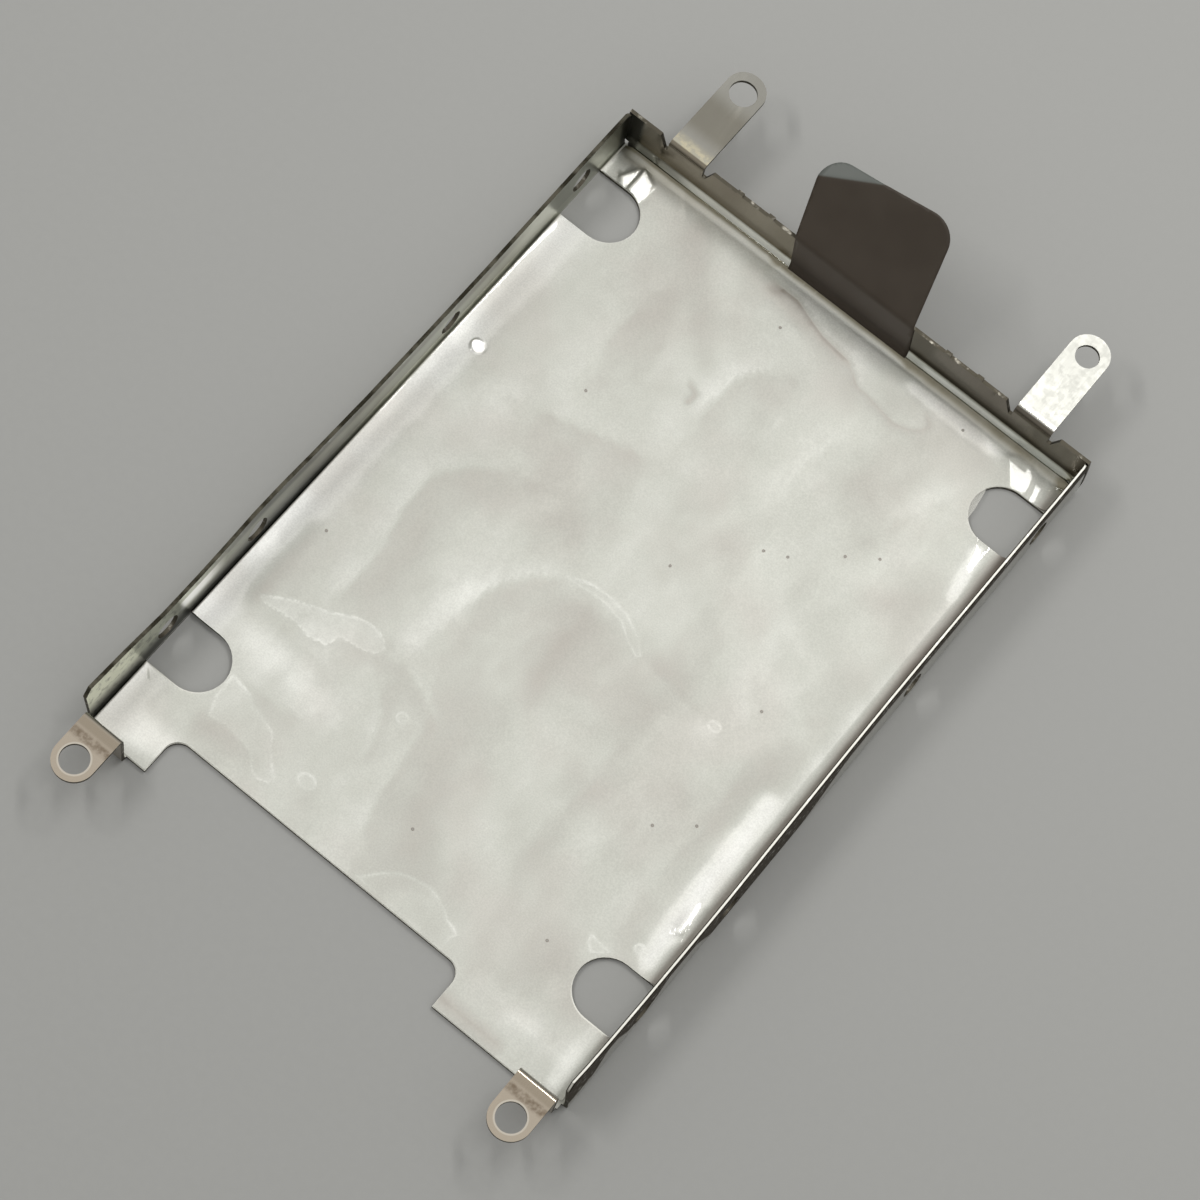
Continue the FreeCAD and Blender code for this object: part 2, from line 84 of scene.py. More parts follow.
# The square tray: where its floor, walls and ears begin and end, its sheet and tight bends, and how near
# to a face counts as on it
WALL_FOOT = 0.7
WALL_TOP = 7.7
END_WALL_INSIDE = 50.05
SHEET = 0.5
TIGHT_ROUND = 0.35
FLOOR_SIDE = 34.65
SIDE_WALL_FROM = 34.3
SIDE_WALL_NEAR = -49.8
SIDE_WALL_FAR = 49.6
FAR_EAR_START = 51.2
NEAR_EAR_START = -51.3
FAR_EAR_MIDDLE = 26.6
FAR_CORNER = 33.5
CLOSE = 0.01

# What use has done to the far corner and the ears: the tilt is for each millimetre across, the dip for each
# millimetre out, the turn of the wave in radians for each millimetre
WALL_LEAN_POWER = 1.2
FAR_CORNER_LEAN = 0.45
LEFT_EAR_WAVE = 0.10
LEFT_EAR_WAVE_FROM = -31.0
LEFT_EAR_WAVE_TURN = 0.9
LEFT_EAR_RUN = 8.0
RIGHT_EAR_TILT = 0.012
RIGHT_EAR_RUN = 3.0
NEAR_EAR_DIP = 0.03

# The end wall was bent up over a wider round than the side walls, which dies out beside them
END_ROUND = 2.0
END_ROUND_START = END_WALL_INSIDE - END_ROUND
ROUND_SIDE = 34.6
ROUND_SIDE_TOP = 1.1


def round_foot(y, z):
    """A point of the end wall's tight bend, carried along the sheet to the wider one."""
    fold_y = END_WALL_INSIDE - TIGHT_ROUND
    fold_z = SHEET + TIGHT_ROUND
    if y < fold_y:
        run = y - END_ROUND_START
        depth = SHEET - z
    elif z < fold_z:
        run = fold_y - END_ROUND_START + TIGHT_ROUND * math.atan2(y - fold_y, fold_z - z)
        depth = math.hypot(y - fold_y, fold_z - z) - TIGHT_ROUND
    else:
        run = fold_y - END_ROUND_START + TIGHT_ROUND * math.pi / 2 + z - fold_z
        depth = y - END_WALL_INSIDE
    whole_run = 2 * (END_ROUND - TIGHT_ROUND) + TIGHT_ROUND * math.pi / 2
    angle = run / whole_run * math.pi / 2
    reach = END_ROUND + depth
    return END_ROUND_START + reach * math.sin(angle), SHEET + END_ROUND - reach * math.cos(angle)


def handled(x, y, z):
    """A point of the square tray after the knocks of use."""
    up_the_wall = min(1.0, max(0.0, (z - WALL_FOOT) / (WALL_TOP - WALL_FOOT)))
    floor_end = END_WALL_INSIDE - TIGHT_ROUND + CLOSE
    on_floor = y < floor_end and z < SHEET + CLOSE and abs(x) < FLOOR_SIDE + CLOSE
    on_end_wall = y > floor_end
    if y > END_ROUND_START and z < SHEET + END_ROUND and (on_floor or on_end_wall):
        share = 1.0 if z > ROUND_SIDE_TOP else min(1.0, max(0.0, ROUND_SIDE - abs(x)))
        foot_y, foot_z = round_foot(y, z)
        return Vector((x, y + (foot_y - y) * share, z + (foot_z - z) * share)) * MM
    if abs(x) > SIDE_WALL_FROM and SIDE_WALL_NEAR < y < SIDE_WALL_FAR:
        lean = LEFT_WALL_LEAN if x < 0 else RIGHT_WALL_LEAN
        x += between(y, lean) * up_the_wall ** WALL_LEAN_POWER
    elif y > SIDE_WALL_FAR and x > FAR_CORNER:
        x -= FAR_CORNER_LEAN * up_the_wall ** 2
    if y > FAR_EAR_START and x < 0:
        wave = math.sin((x - LEFT_EAR_WAVE_FROM) * LEFT_EAR_WAVE_TURN)
        z += LEFT_EAR_WAVE * wave * min(1.0, (y - FAR_EAR_START) / LEFT_EAR_RUN)
    elif y > FAR_EAR_START:
        z -= RIGHT_EAR_TILT * (x - FAR_EAR_MIDDLE) * min(1.0, (y - FAR_EAR_START) / RIGHT_EAR_RUN)
    elif y < NEAR_EAR_START:
        z -= NEAR_EAR_DIP * (NEAR_EAR_START - y)
    return Vector((x, y, z)) * MM


# Rows of edges let the walls bow and lean, and the end wall's foot take its round
LENGTH_ROWS = range(-46, 50, 2)
ROUND_ROWS = (48.05, 48.4, 48.75, 49.1, 49.4)
HEIGHT_ROWS = (1.3, 1.6, 1.9, 2.2, 2.5, 2.9, 4.6, 6.3)
CORNER_ROWS = (-34.1, -33.6, 33.6, 34.1)
SHARP_TURN = math.radians(28)
tray_shape = welded_copy("tray")
cut_across(tray_shape, Vector((0, 1, 0)), LENGTH_ROWS)
cut_across(tray_shape, Vector((0, 1, 0)), ROUND_ROWS)
cut_across(tray_shape, Vector((0, 0, 1)), HEIGHT_ROWS)
cut_across(tray_shape, Vector((1, 0, 0)), CORNER_ROWS)

# Each point remembers where it lay across before the leans, for the stains and the painted light and shade
# of the walls
square_x = tray_shape.verts.layers.float.new("square_x")
for vertex in tray_shape.verts:
    vertex[square_x] = vertex.co.x / MM
    vertex.co = handled(*(vertex.co / MM))
for face in tray_shape.faces:
    face.smooth = True
for edge in tray_shape.edges:
    edge.smooth = len(edge.link_faces) == 2 and edge.calc_face_angle(0.0) < SHARP_TURN


def smooth_regions(shape):
    """The shape's faces in groups that run on into each other without a sharp edge."""
    groups = []
    seen = set()
    for first in shape.faces:
        if first in seen:
            continue
        seen.add(first)
        group = [first]
        for face in group:
            for edge in face.edges:
                if not edge.smooth:
                    continue
                for other in edge.link_faces:
                    if other not in seen:
                        seen.add(other)
                        group.append(other)
        groups.append(group)
    return groups


# The two rolled skins are the large groups; every other face is where the shears cut through the sheet
SMALL_SHARE = 0.1
sheet_area = sum(face.calc_area() for face in tray_shape.faces)
for group in smooth_regions(tray_shape):
    sheared = sum(face.calc_area() for face in group) < SMALL_SHARE * sheet_area
    for face in group:
        face.material_index = 1 if sheared else 0
tray_mesh = bpy.data.meshes.new("tray_sheet")
tray_shape.to_mesh(tray_mesh)
tray_shape.free()
tray = bpy.data.objects.new("tray_sheet", tray_mesh)
bpy.context.scene.collection.objects.link(tray)


def new_material(name):
    """A material with its node tree and its surface node."""
    material = bpy.data.materials.new(name)
    material.use_nodes = True
    return material, material.node_tree, material.node_tree.nodes["Principled BSDF"]


# The helpers below add their nodes to the tree of the material in hand
def step(kind, sockets, **settings):
    """One node: a socket takes a value, a colour's three shares or another node's output."""
    node = tree.nodes.new("ShaderNode" + kind)
    for name, value in settings.items():
        setattr(node, name, value)
    for name, value in sockets.items():
        socket = node.inputs[name]
        if isinstance(value, bpy.types.NodeSocket):
            tree.links.new(value, socket)
        elif socket.type == "RGBA":
            socket.default_value = (*value, 1.0)
        else:
            socket.default_value = value
    return node


def blend(share, first, second):
    """The first colour, turning into the second by the share."""
    return step("Mix", {0: share, 6: first, 7: second}, data_type="RGBA").outputs[2]


def reckoned(operation, first, second):
    """One sum between two values."""
    return step("Math", {0: first, 1: second}, operation=operation).outputs[0]


def product(*shares):
    """Shares multiplied together."""
    whole = shares[0]
    for share in shares[1:]:
        whole = reckoned("MULTIPLY", whole, share)
    return whole


def ramp(value, low, high, low_out=0.0, high_out=1.0):
    """A smooth change from low_out at low to high_out at high, level beyond them."""
    node = step("MapRange", {"Value": value, "From Min": low, "From Max": high, "To Min": low_out,
                             "To Max": high_out}, interpolation_type="SMOOTHSTEP")
    return node.outputs["Result"]


def stretch(value, start, full, fading, end):
    """A share that rises from start to full and falls again from fading to end."""
    return product(ramp(value, start, full), ramp(value, end, fading))


def patches(place, scale, detail=3.0, roughness=0.55):
    """Cloudy patches from nought to one, so many to the unit of the place."""
    node = step("TexNoise", {"Vector": place, "Scale": scale, "Detail": detail,
                             "Roughness": roughness})
    return node.outputs["Fac"]


def stretched(place, shares):
    """The place with each of its ways made longer or shorter."""
    return step("VectorMath", {0: place, 1: shares}, operation="MULTIPLY").outputs[0]


def in_millimetres():
    """The place on the piece, in millimetres."""
    coords = step("TexCoord", {}).outputs["Object"]
    return stretched(coords, (1.0 / MM, 1.0 / MM, 1.0 / MM))


def marked(name):
    """A value that the mesh carries from point to point."""
    return step("Attribute", {}, attribute_name=name).outputs["Fac"]


STEEL = (0.545, 0.538, 0.500)
STEEL_WORN = (0.500, 0.490, 0.450)
steel, tree, surface = new_material("stainless_sheet")
place = in_millimetres()
across, along, up = step("SeparateXYZ", {0: place}).outputs
flat_x = marked("square_x")
rolled_grain = patches(stretched(place, (6.0, 0.35, 6.0)), 1.0, 4.0)
smudges = patches(place, 0.16)
colour = blend(ramp(smudges, 0.42, 0.66), STEEL, STEEL_WORN)

# Far ears: the left one tarnished, with a golden tint and a painted highlight on its bend; the right one
# scuffed white
TARNISH = (0.25, 0.228, 0.180)
SCUFFED_WHITE = (0.66, 0.66, 0.62)
EAR_BEND_GOLD_HIGHLIGHT = (0.78, 0.715, 0.53)
far_ears = ramp(along, 50.9, 51.6)
left_side = ramp(across, 2.0, -2.0)
greyed = reckoned("ADD", 0.30, product(0.45, stretch(along, 52.2, 54.6, 57.5, 60.5)))
colour = blend(product(far_ears, left_side, greyed), colour, TARNISH)
scuffed = product(far_ears, ramp(across, -2.0, 2.0))
colour = blend(scuffed, colour, SCUFFED_WHITE)
mottle = ramp(patches(place, 1.1, 4.0), 0.40, 0.62)
# Painted highlight, tinted gold, along the far left ear's bend
ear_bend_highlight = product(stretch(along, 50.2, 50.5, 51.2, 52.6), left_side, ramp(up, 6.6, 7.0))
ear_bend_highlight = product(ear_bend_highlight, ramp(mottle, 0.0, 1.0, 0.5, 1.0))
colour = blend(ear_bend_highlight, colour, EAR_BEND_GOLD_HIGHLIGHT)

# Near ears: browned by handling, darker over the bend and blotched beside it
EAR_BROWN = (0.67, 0.54, 0.40)
EAR_BEND_BROWN = (0.36, 0.30, 0.225)
EAR_BLOTCH = (0.27, 0.208, 0.15)
near_ears = ramp(along, -50.5, -51.3)
colour = blend(product(near_ears, 0.60), colour, EAR_BROWN)
near_bend = product(near_ears, ramp(along, -52.6, -51.9, 0.0, 0.60))
colour = blend(near_bend, colour, EAR_BEND_BROWN)
blotches = ramp(patches(place, 1.6, 4.0), 0.30, 0.72, 0.25, 0.95)
blotched = product(stretch(along, -53.9, -53.2, -52.7, -52.2), blotches)
colour = blend(blotched, colour, EAR_BLOTCH)

# Outside of the right wall: a dark stain that comes down from the top edge in three runs, flaked in places
STAIN_DARK = (0.036, 0.027, 0.016)
STAIN_TOP = 5.6
STAIN_DEPTH = 5.2
outer_face = ramp(flat_x, 35.35, 35.48)
middle_run = stretch(along, -27.0, -22.0, -8.0, 4.0)
short_run = product(0.55, stretch(along, -41.0, -38.0, -34.0, -31.0))
near_run = ramp(along, -42.0, -45.0, 0.0, 0.65)
run_depth = reckoned("MAXIMUM", reckoned("MAXIMUM", middle_run, short_run), near_run)
stain_height = reckoned("SUBTRACT", STAIN_TOP, product(run_depth, STAIN_DEPTH))
above_stain_edge = ramp(reckoned("SUBTRACT", up, stain_height), -0.5, 0.6)
flaked = ramp(patches(place, 1.3), 0.56, 0.70, 1.0, 0.55)
stained = product(outer_face, above_stain_edge, flaked)
colour = blend(stained, colour, STAIN_DARK)

# End wall: its inside is painted with the reflection it shows, brown-grey and darker in its right half,
# with a painted shade in the left corner
WALL_LOW_LEFT_REFLECTION = (0.42, 0.37, 0.285)
WALL_LOW_RIGHT_REFLECTION = (0.110, 0.095, 0.072)
WALL_BROWN_REFLECTION = (0.215, 0.186, 0.142)
WALL_DARK_REFLECTION = (0.030, 0.022, 0.012)
WALL_CORNER_SHADE = (0.020, 0.019, 0.015)
end_wall = product(stretch(along, 49.85, 50.0, 50.6, 50.8), ramp(up, 2.3, 2.6, 0.0, 0.90))
right_half = ramp(across, 0.0, 10.0, 0.0, 0.72)
right_half = reckoned("SUBTRACT", right_half, ramp(across, 20.0, 33.0, 0.0, 0.22))
wall_reflection_and_shade = blend(ramp(across, -3.0, 3.0), WALL_LOW_LEFT_REFLECTION, WALL_LOW_RIGHT_REFLECTION)
wall_reflection_and_shade = blend(ramp(up, 2.7, 3.8), wall_reflection_and_shade, WALL_BROWN_REFLECTION)
wall_reflection_and_shade = blend(right_half, wall_reflection_and_shade, WALL_DARK_REFLECTION)
wall_reflection_and_shade = blend(ramp(across, -32.6, -33.6), wall_reflection_and_shade, WALL_CORNER_SHADE)
colour = blend(end_wall, colour, wall_reflection_and_shade)

# The end wall's bend: a painted reflection, bright in the middle and greyer to the right, dull with painted
# shade towards the left corner
BEND_REFLECTION_BRIGHT = (0.94, 0.95, 0.92)
BEND_REFLECTION_GREY = (0.74, 0.76, 0.73)
BEND_SHADE_DULL = (0.36, 0.36, 0.33)
bend_reflection = blend(ramp(across, 5.0, 12.0), BEND_REFLECTION_BRIGHT, BEND_REFLECTION_GREY)
bend_reflection = blend(ramp(across, -23.0, -29.0), bend_reflection, BEND_SHADE_DULL)
end_bend = product(stretch(along, 48.8, 49.2, 50.3, 50.5),
                   stretch(up, 0.8, 1.1, 2.35, 2.55), ramp(across, -33.4, -32.6))
colour = blend(end_bend, colour, bend_reflection)

# Inside of the left wall: painted reflection and shade, greyer towards the foot, nearly black there in the
# near half, with a painted highlight in a spot and painted shade in the far corner
LEFT_FAR_FOOT = (0.70, 0.71, 0.60)
LEFT_FAR_MIDDLE = (0.29, 0.297, 0.243)
LEFT_FAR_TOP = (0.150, 0.153, 0.122)
LEFT_FAR_END = (0.47, 0.48, 0.41)
LEFT_NEAR_FOOT = (0.036, 0.036, 0.028)
LEFT_NEAR_MIDDLE = (0.185, 0.188, 0.151)
LEFT_NEAR_TOP = (0.052, 0.052, 0.040)
LEFT_END_FOOT = (0.065, 0.065, 0.050)
LEFT_END_TOP = (0.74, 0.76, 0.63)
LEFT_END_SPOTS = (0.05, 0.046, 0.030)
LEFT_WALL_HIGHLIGHT = (1.0, 1.0, 0.99)
LEFT_CORNER_SHADE = (0.045, 0.043, 0.034)
left_inside = stretch(flat_x, -35.3, -35.1, -34.9, -34.7)
left_far = blend(ramp(up, 2.1, 2.8), LEFT_FAR_FOOT, LEFT_FAR_MIDDLE)
left_far = blend(ramp(up, 5.0, 6.2), left_far, LEFT_FAR_TOP)
left_far = blend(ramp(along, 24.0, 31.0, 0.0, 0.8), left_far, LEFT_FAR_END)
left_near = blend(ramp(up, 1.6, 5.0), LEFT_NEAR_FOOT, LEFT_NEAR_MIDDLE)
left_near = blend(ramp(up, 5.6, 6.6), left_near, LEFT_NEAR_TOP)
left_end = blend(ramp(up, 1.8, 5.0), LEFT_END_FOOT, LEFT_END_TOP)
spotted = ramp(patches(place, 1.2, 6.0), 0.46, 0.72, 0.0, 0.50)
left_end = blend(spotted, left_end, LEFT_END_SPOTS)
left_near = blend(ramp(along, -20.0, -40.0), left_near, left_end)
left_reflection_and_shade = blend(ramp(along, 8.0, -12.0), left_far, left_near)
left_highlight = product(stretch(along, -34.0, -33.0, -29.5, -25.0),
                   stretch(up, 3.0, 5.0, 6.0, 6.6))
left_reflection_and_shade = blend(left_highlight, left_reflection_and_shade, LEFT_WALL_HIGHLIGHT)
colour = blend(left_inside, colour, left_reflection_and_shade)
# Painted shade in the far left corner
left_corner_shade = product(ramp(across, -32.9, -33.7), ramp(along, 47.9, 48.9))
colour = blend(product(left_corner_shade, 0.9), colour, LEFT_CORNER_SHADE)

# Rims of the near ears' holes, painted bright as a highlight, and the floor under the film, dulled by its
# adhesive
NEAR_EAR_HOLE = (31.75, 55.65, 0.0)
RIM_HIGHLIGHT = (0.88, 0.82, 0.72)
BONDED_FLOOR = (0.78, 0.775, 0.725)
either_side = step("VectorMath", {0: place}, operation="ABSOLUTE").outputs[0]
either_side = stretched(either_side, (1.0, 1.0, 0.0))
from_hole = step("VectorMath", {0: either_side, 1: NEAR_EAR_HOLE}, operation="DISTANCE")
# Painted highlight round the near ears' holes
hole_rim_highlight = product(near_ears, ramp(from_hole.outputs["Value"], 2.08, 1.94), 0.65)
colour = blend(hole_rim_highlight, colour, RIM_HIGHLIGHT)
bonded = stretch(up, 0.40, 0.48, 0.52, 0.62)
colour = blend(bonded, colour, BONDED_FLOOR)
tree.links.new(colour, surface.inputs["Base Color"])
tree.links.new(reckoned("SUBTRACT", 1.0, stained), surface.inputs["Metallic"])

rough = ramp(smudges, 0.35, 0.70, 0.10, 0.16)
for rougher in (ramp(rolled_grain, 0.3, 0.7, -0.02, 0.03),
                product(bonded, 0.46),
                product(stained, 0.75),
                product(reckoned("MAXIMUM", left_inside, left_corner_shade), 0.20),
                product(scuffed, ramp(mottle, 0.0, 1.0, 0.34, 0.40))):
    rough = reckoned("ADD", rough, rougher)
tree.links.new(rough, surface.inputs["Roughness"])
bump = step("Bump", {"Height": rolled_grain, "Strength": 0.03, "Distance": 0.1 * MM})
tree.links.new(bump.outputs["Normal"], surface.inputs["Normal"])
tray_mesh.materials.append(steel)

# The sheared edges are torn and dull, darkest on the left wall's top; on the right wall's top a painted
# highlight runs between painted shade at its edges
SHEARED_DULL = (0.10, 0.090, 0.070)
SHEARED_TORN = (0.40, 0.38, 0.33)
LEFT_TOP_BLACK = (0.030, 0.027, 0.019)
LEFT_TOP_SMEARED = (0.10, 0.093, 0.072)
RIGHT_TOP_SHADE = (0.022, 0.019, 0.014)
RIGHT_TOP_HIGHLIGHT = (0.80, 0.79, 0.74)
sheared_steel, tree, surface = new_material("sheared_edge")
place = in_millimetres()
across, along, up = step("SeparateXYZ", {0: place}).outputs
torn = ramp(patches(place, 1.1), 0.52, 0.80)
colour = blend(torn, SHEARED_DULL, SHEARED_TORN)
wall_top = product(ramp(up, 6.5, 7.2), ramp(along, 49.9, 49.5))
left_top = product(wall_top, ramp(across, -34.0, -34.6))
smeared = ramp(patches(place, 0.45), 0.40, 0.65)
top_shade = blend(smeared, LEFT_TOP_BLACK, LEFT_TOP_SMEARED)
colour = blend(left_top, colour, top_shade)
right_top = product(wall_top, ramp(across, 33.6, 34.2))
top_highlight = stretch(marked("square_x"), 35.08, 35.14, 35.32, 35.38)
top_shade = blend(top_highlight, RIGHT_TOP_SHADE, RIGHT_TOP_HIGHLIGHT)
colour = blend(right_top, colour, top_shade)
tree.links.new(colour, surface.inputs["Base Color"])
surface.inputs["Metallic"].default_value = 1.0
tree.links.new(ramp(torn, 0.0, 1.0, 0.55, 0.36), surface.inputs["Roughness"])
tray_mesh.materials.append(sheared_steel)
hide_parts("tray")
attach(tray, "root")


# Insulating film: a thin clear polyester sheet cut to the floor's outline and stuck down by its adhesive.
# It has let go in blisters, ripples and creases, which whiten along their edges. Its long edges curl up.

FLOOR_TOP = SHEET
FILM_THICKNESS = 0.10
FILM_GAP = 0.01
FILM_OUTLINE_STEP = 0.45

# The film's edges, close inside those of the steel
FILM_LEFT = -34.62
FILM_RIGHT = 34.55
FILM_FAR = 49.50
FILM_NEAR = -49.98
FILM_NEAR_SIDE = -49.3
NOTCH_LEFT = -26.36
NOTCH_RIGHT = 16.46
NOTCH_BACK = -44.49
NOTCH_ROUND = 2.0
LEFT_RISER = -30.3
RIGHT_RISER = 28.9


def arc_points(centre_x, centre_y, radius, start, end, count=18):
    """Points along a turn, angles in degrees."""
    angles = np.radians(np.linspace(start, end, count))
    return [(centre_x + radius * math.cos(a), centre_y + radius * math.sin(a)) for a in angles]


CUT_OUT_ROUND = 4.06
CUT_OUT_MIDDLE = 30.5
NEAR_CUT_OUT = -36.0
FAR_CUT_OUT = 40.7


def cut_out(side, middle):
    """The round-ended cut from one long edge, walked from near to far on the right and back on the left."""
    start, end = (270, 90) if side > 0 else (90, -90)
    edge_x = FILM_RIGHT if side > 0 else FILM_LEFT
    first = middle - CUT_OUT_ROUND * side
    last = middle + CUT_OUT_ROUND * side
    round_end = arc_points(side * CUT_OUT_MIDDLE, middle, CUT_OUT_ROUND, start, end)
    return [(edge_x, first)] + round_end + [(edge_x, last)]


# At the far right cut-out the film was cut short of the steel, so a sliver of it bridges the round end
sliver_edge = [(27.52, 37.98), (27.44, 39.62), (27.04, 42.30)]
far_right_cut_out = [(FILM_RIGHT, FAR_CUT_OUT - CUT_OUT_ROUND)]
far_right_cut_out += arc_points(CUT_OUT_MIDDLE, FAR_CUT_OUT, CUT_OUT_ROUND, 270, 224, 8) + sliver_edge
far_right_cut_out += arc_points(CUT_OUT_MIDDLE, FAR_CUT_OUT, CUT_OUT_ROUND, 154, 90, 10)
far_right_cut_out += [(FILM_RIGHT, FAR_CUT_OUT + CUT_OUT_ROUND)]
film_corners = [(FILM_LEFT, FILM_NEAR_SIDE), (LEFT_RISER, FILM_NEAR_SIDE), (LEFT_RISER + 0.7, FILM_NEAR),
                (NOTCH_LEFT, FILM_NEAR)]
film_corners += arc_points(NOTCH_LEFT + NOTCH_ROUND, NOTCH_BACK - NOTCH_ROUND, NOTCH_ROUND, 180, 90, 8)
film_corners += arc_points(NOTCH_RIGHT - NOTCH_ROUND, NOTCH_BACK - NOTCH_ROUND, NOTCH_ROUND, 90, 0, 8)
film_corners += [(NOTCH_RIGHT, FILM_NEAR), (RIGHT_RISER, FILM_NEAR), (RIGHT_RISER, FILM_NEAR_SIDE),
                 (FILM_RIGHT, FILM_NEAR_SIDE)]
film_corners += cut_out(1, NEAR_CUT_OUT)
film_corners += far_right_cut_out
film_corners += [(FILM_RIGHT, FILM_FAR), (FILM_LEFT, FILM_FAR)]
film_corners += cut_out(-1, FAR_CUT_OUT)
film_corners += cut_out(-1, NEAR_CUT_OUT)


def walked(corners, stride, closed):
    """The same line with a point at least every stride."""
    points = []
    ends = corners[1:] + corners[:1] if closed else corners[1:]
    for (x, y), (next_x, next_y) in zip(corners, ends):
        pieces = max(1, int(math.ceil(math.hypot(next_x - x, next_y - y) / stride)))
        points += [(x + (next_x - x) * k / pieces, y + (next_y - y) * k / pieces) for k in range(pieces)]
    if not closed:
        points.append(corners[-1])
    return points


def inside(points, outline):
    """Which of the points lie inside a closed outline."""
    hits = np.zeros(len(points), dtype=bool)
    x, y = points[:, 0], points[:, 1]
    for (ax, ay), (bx, by) in zip(outline, outline[1:] + outline[:1]):
        if ay == by:
            continue
        crosses = (ay > y) != (by > y)
        hits ^= crosses & (x < (bx - ax) * (y - ay) / (by - ay) + ax)
    return hits


def beside(points, line):
    """How far each point is from a line, whether on its right, and how far from the line's ends."""
    nearest = np.full(len(points), 1e9)
    right_side = np.zeros(len(points), dtype=bool)
    for a, b in zip(line, line[1:]):
        run = np.array(b) - np.array(a)
        along = np.clip(((points - a) @ run) / max(run @ run, 1e-12), 0.0, 1.0)
        off = points - a - along[:, None] * run
        away = np.linalg.norm(off, axis=1)
        closer = away < nearest
        right_side = np.where(closer, run[1] * off[:, 0] - run[0] * off[:, 1] > 0.0, right_side)
        nearest = np.minimum(nearest, away)
    first_end = np.linalg.norm(points - np.array(line[0]), axis=1)
    last_end = np.linalg.norm(points - np.array(line[-1]), axis=1)
    return nearest, right_side, np.minimum(first_end, last_end)


def distance_to(points, line, closed):
    """How far each point is from an open line or a closed outline."""
    return beside(points, line + line[:1] if closed else line)[0]


def smooth(value, low, high):
    """A smooth rise from nought at low to one at high."""
    part = np.clip((value - low) / (high - low), 0.0, 1.0)
    return part * part * (3.0 - 2.0 * part)


# Outlines of the blisters
long_blister = [(-30.4, -25.1), (-29.4, -25.6), (-27.4, -25.3), (-25.3, -25.0), (-23.9, -25.1),
                (-22.8, -25.4), (-21.9, -25.3), (-21.4, -24.9), (-20.3, -24.9), (-20.2, -24.0),
                (-19.9, -23.2), (-18.9, -22.8), (-17.1, -22.6), (-15.6, -22.0), (-14.9, -21.1),
                (-15.1, -20.4), (-16.0, -19.75), (-17.1, -19.4), (-18.5, -19.45), (-19.9, -19.85),
                (-21.4, -20.7), (-23.1, -21.6), (-24.9, -22.2), (-26.7, -22.95), (-28.5, -24.0)]
corner_blister = [(-26.2, -34.6), (-24.9, -34.9), (-23.1, -35.2), (-21.7, -36.1), (-19.9, -36.5),
                  (-18.1, -37.1), (-17.3, -38.4), (-16.0, -39.8), (-14.1, -41.4), (-14.8, -42.0),
                  (-16.0, -42.5), (-17.2, -42.0), (-17.8, -41.2), (-18.9, -40.4), (-20.6, -40.0),
                  (-23.1, -39.8), (-25.1, -40.2), (-26.0, -38.0)]
notch_blister = [(0.4, -43.9), (2.1, -41.8), (3.9, -40.4), (5.7, -39.8), (7.5, -39.6), (8.9, -39.9),
                 (10.4, -40.5), (11.4, -41.25), (12.5, -41.5), (13.3, -41.9), (12.9, -42.7),
                 (13.0, -43.4), (12.9, -44.3)]
arch_blister = [(-4.5, 0.4), (-2.0, 1.4), (1.0, 1.7), (4.0, 1.2), (6.8, -0.2), (8.4, -1.8), (8.0, -2.2),
                (6.3, -1.4), (4.0, 0.1), (1.0, 0.7), (-2.0, 0.5), (-4.3, 0.1)]
cut_out_blister = [(25.0, -31.8), (25.2, -32.7), (26.25, -33.5), (27.4, -32.6), (28.2, -32.0),
                   (26.6, -32.0)]
tab_blister = [(-11.4, 48.7), (-10.3, 47.4), (-7.8, 47.0), (-5.6, 47.0), (-3.9, 46.4), (-2.1, 45.75),
               (-0.3, 45.2), (1.8, 44.9), (3.9, 44.7), (5.4, 43.8), (6.8, 42.7), (8.6, 42.6),
               (10.7, 42.2), (13.2, 41.8), (15.0, 42.4), (16.4, 43.4), (16.8, 44.5), (15.4, 45.6),
               (13.2, 46.3), (11.8, 47.7), (10.9, 48.7)]


def ring(x, y, across, deep):
    """A small round blister."""
    turns = np.linspace(0.0, 2.0 * math.pi, 14, endpoint=False)
    return [(x + across * math.cos(t), y + deep * math.sin(t)) for t in turns]


# Outline, lift, rim width, whitening of the rim, whitening inside
BLISTERS = [(long_blister, 0.010, 0.40, 0.20, 0.20), (corner_blister, 0.008, 0.40, 0.22, 0.10),
            (notch_blister, 0.010, 0.40, 0.30, 0.06), (arch_blister, 0.012, 0.35, 0.26, 0.06),
            (cut_out_blister, 0.008, 0.35, 0.30, 0.10), (tab_blister, 0.004, 0.90, 0.0, 0.0),
            (ring(20.4, -2.9, 0.85, 0.62), 0.020, 0.3, 0.30, 0.14),
            (ring(-8.0, -25.9, 0.7, 0.65), 0.02, 0.3, 0.26, 0.04),
            (ring(-11.4, -39.0, 1.2, 0.85), 0.022, 0.35, 0.30, 0.08),
            (ring(30.3, -29.6, 0.6, 0.6), 0.02, 0.3, 0.25, 0.14),
            (ring(-7.9, 28.2, 0.8, 0.8), 0.040, 0.45, 0.0, 0.0)]

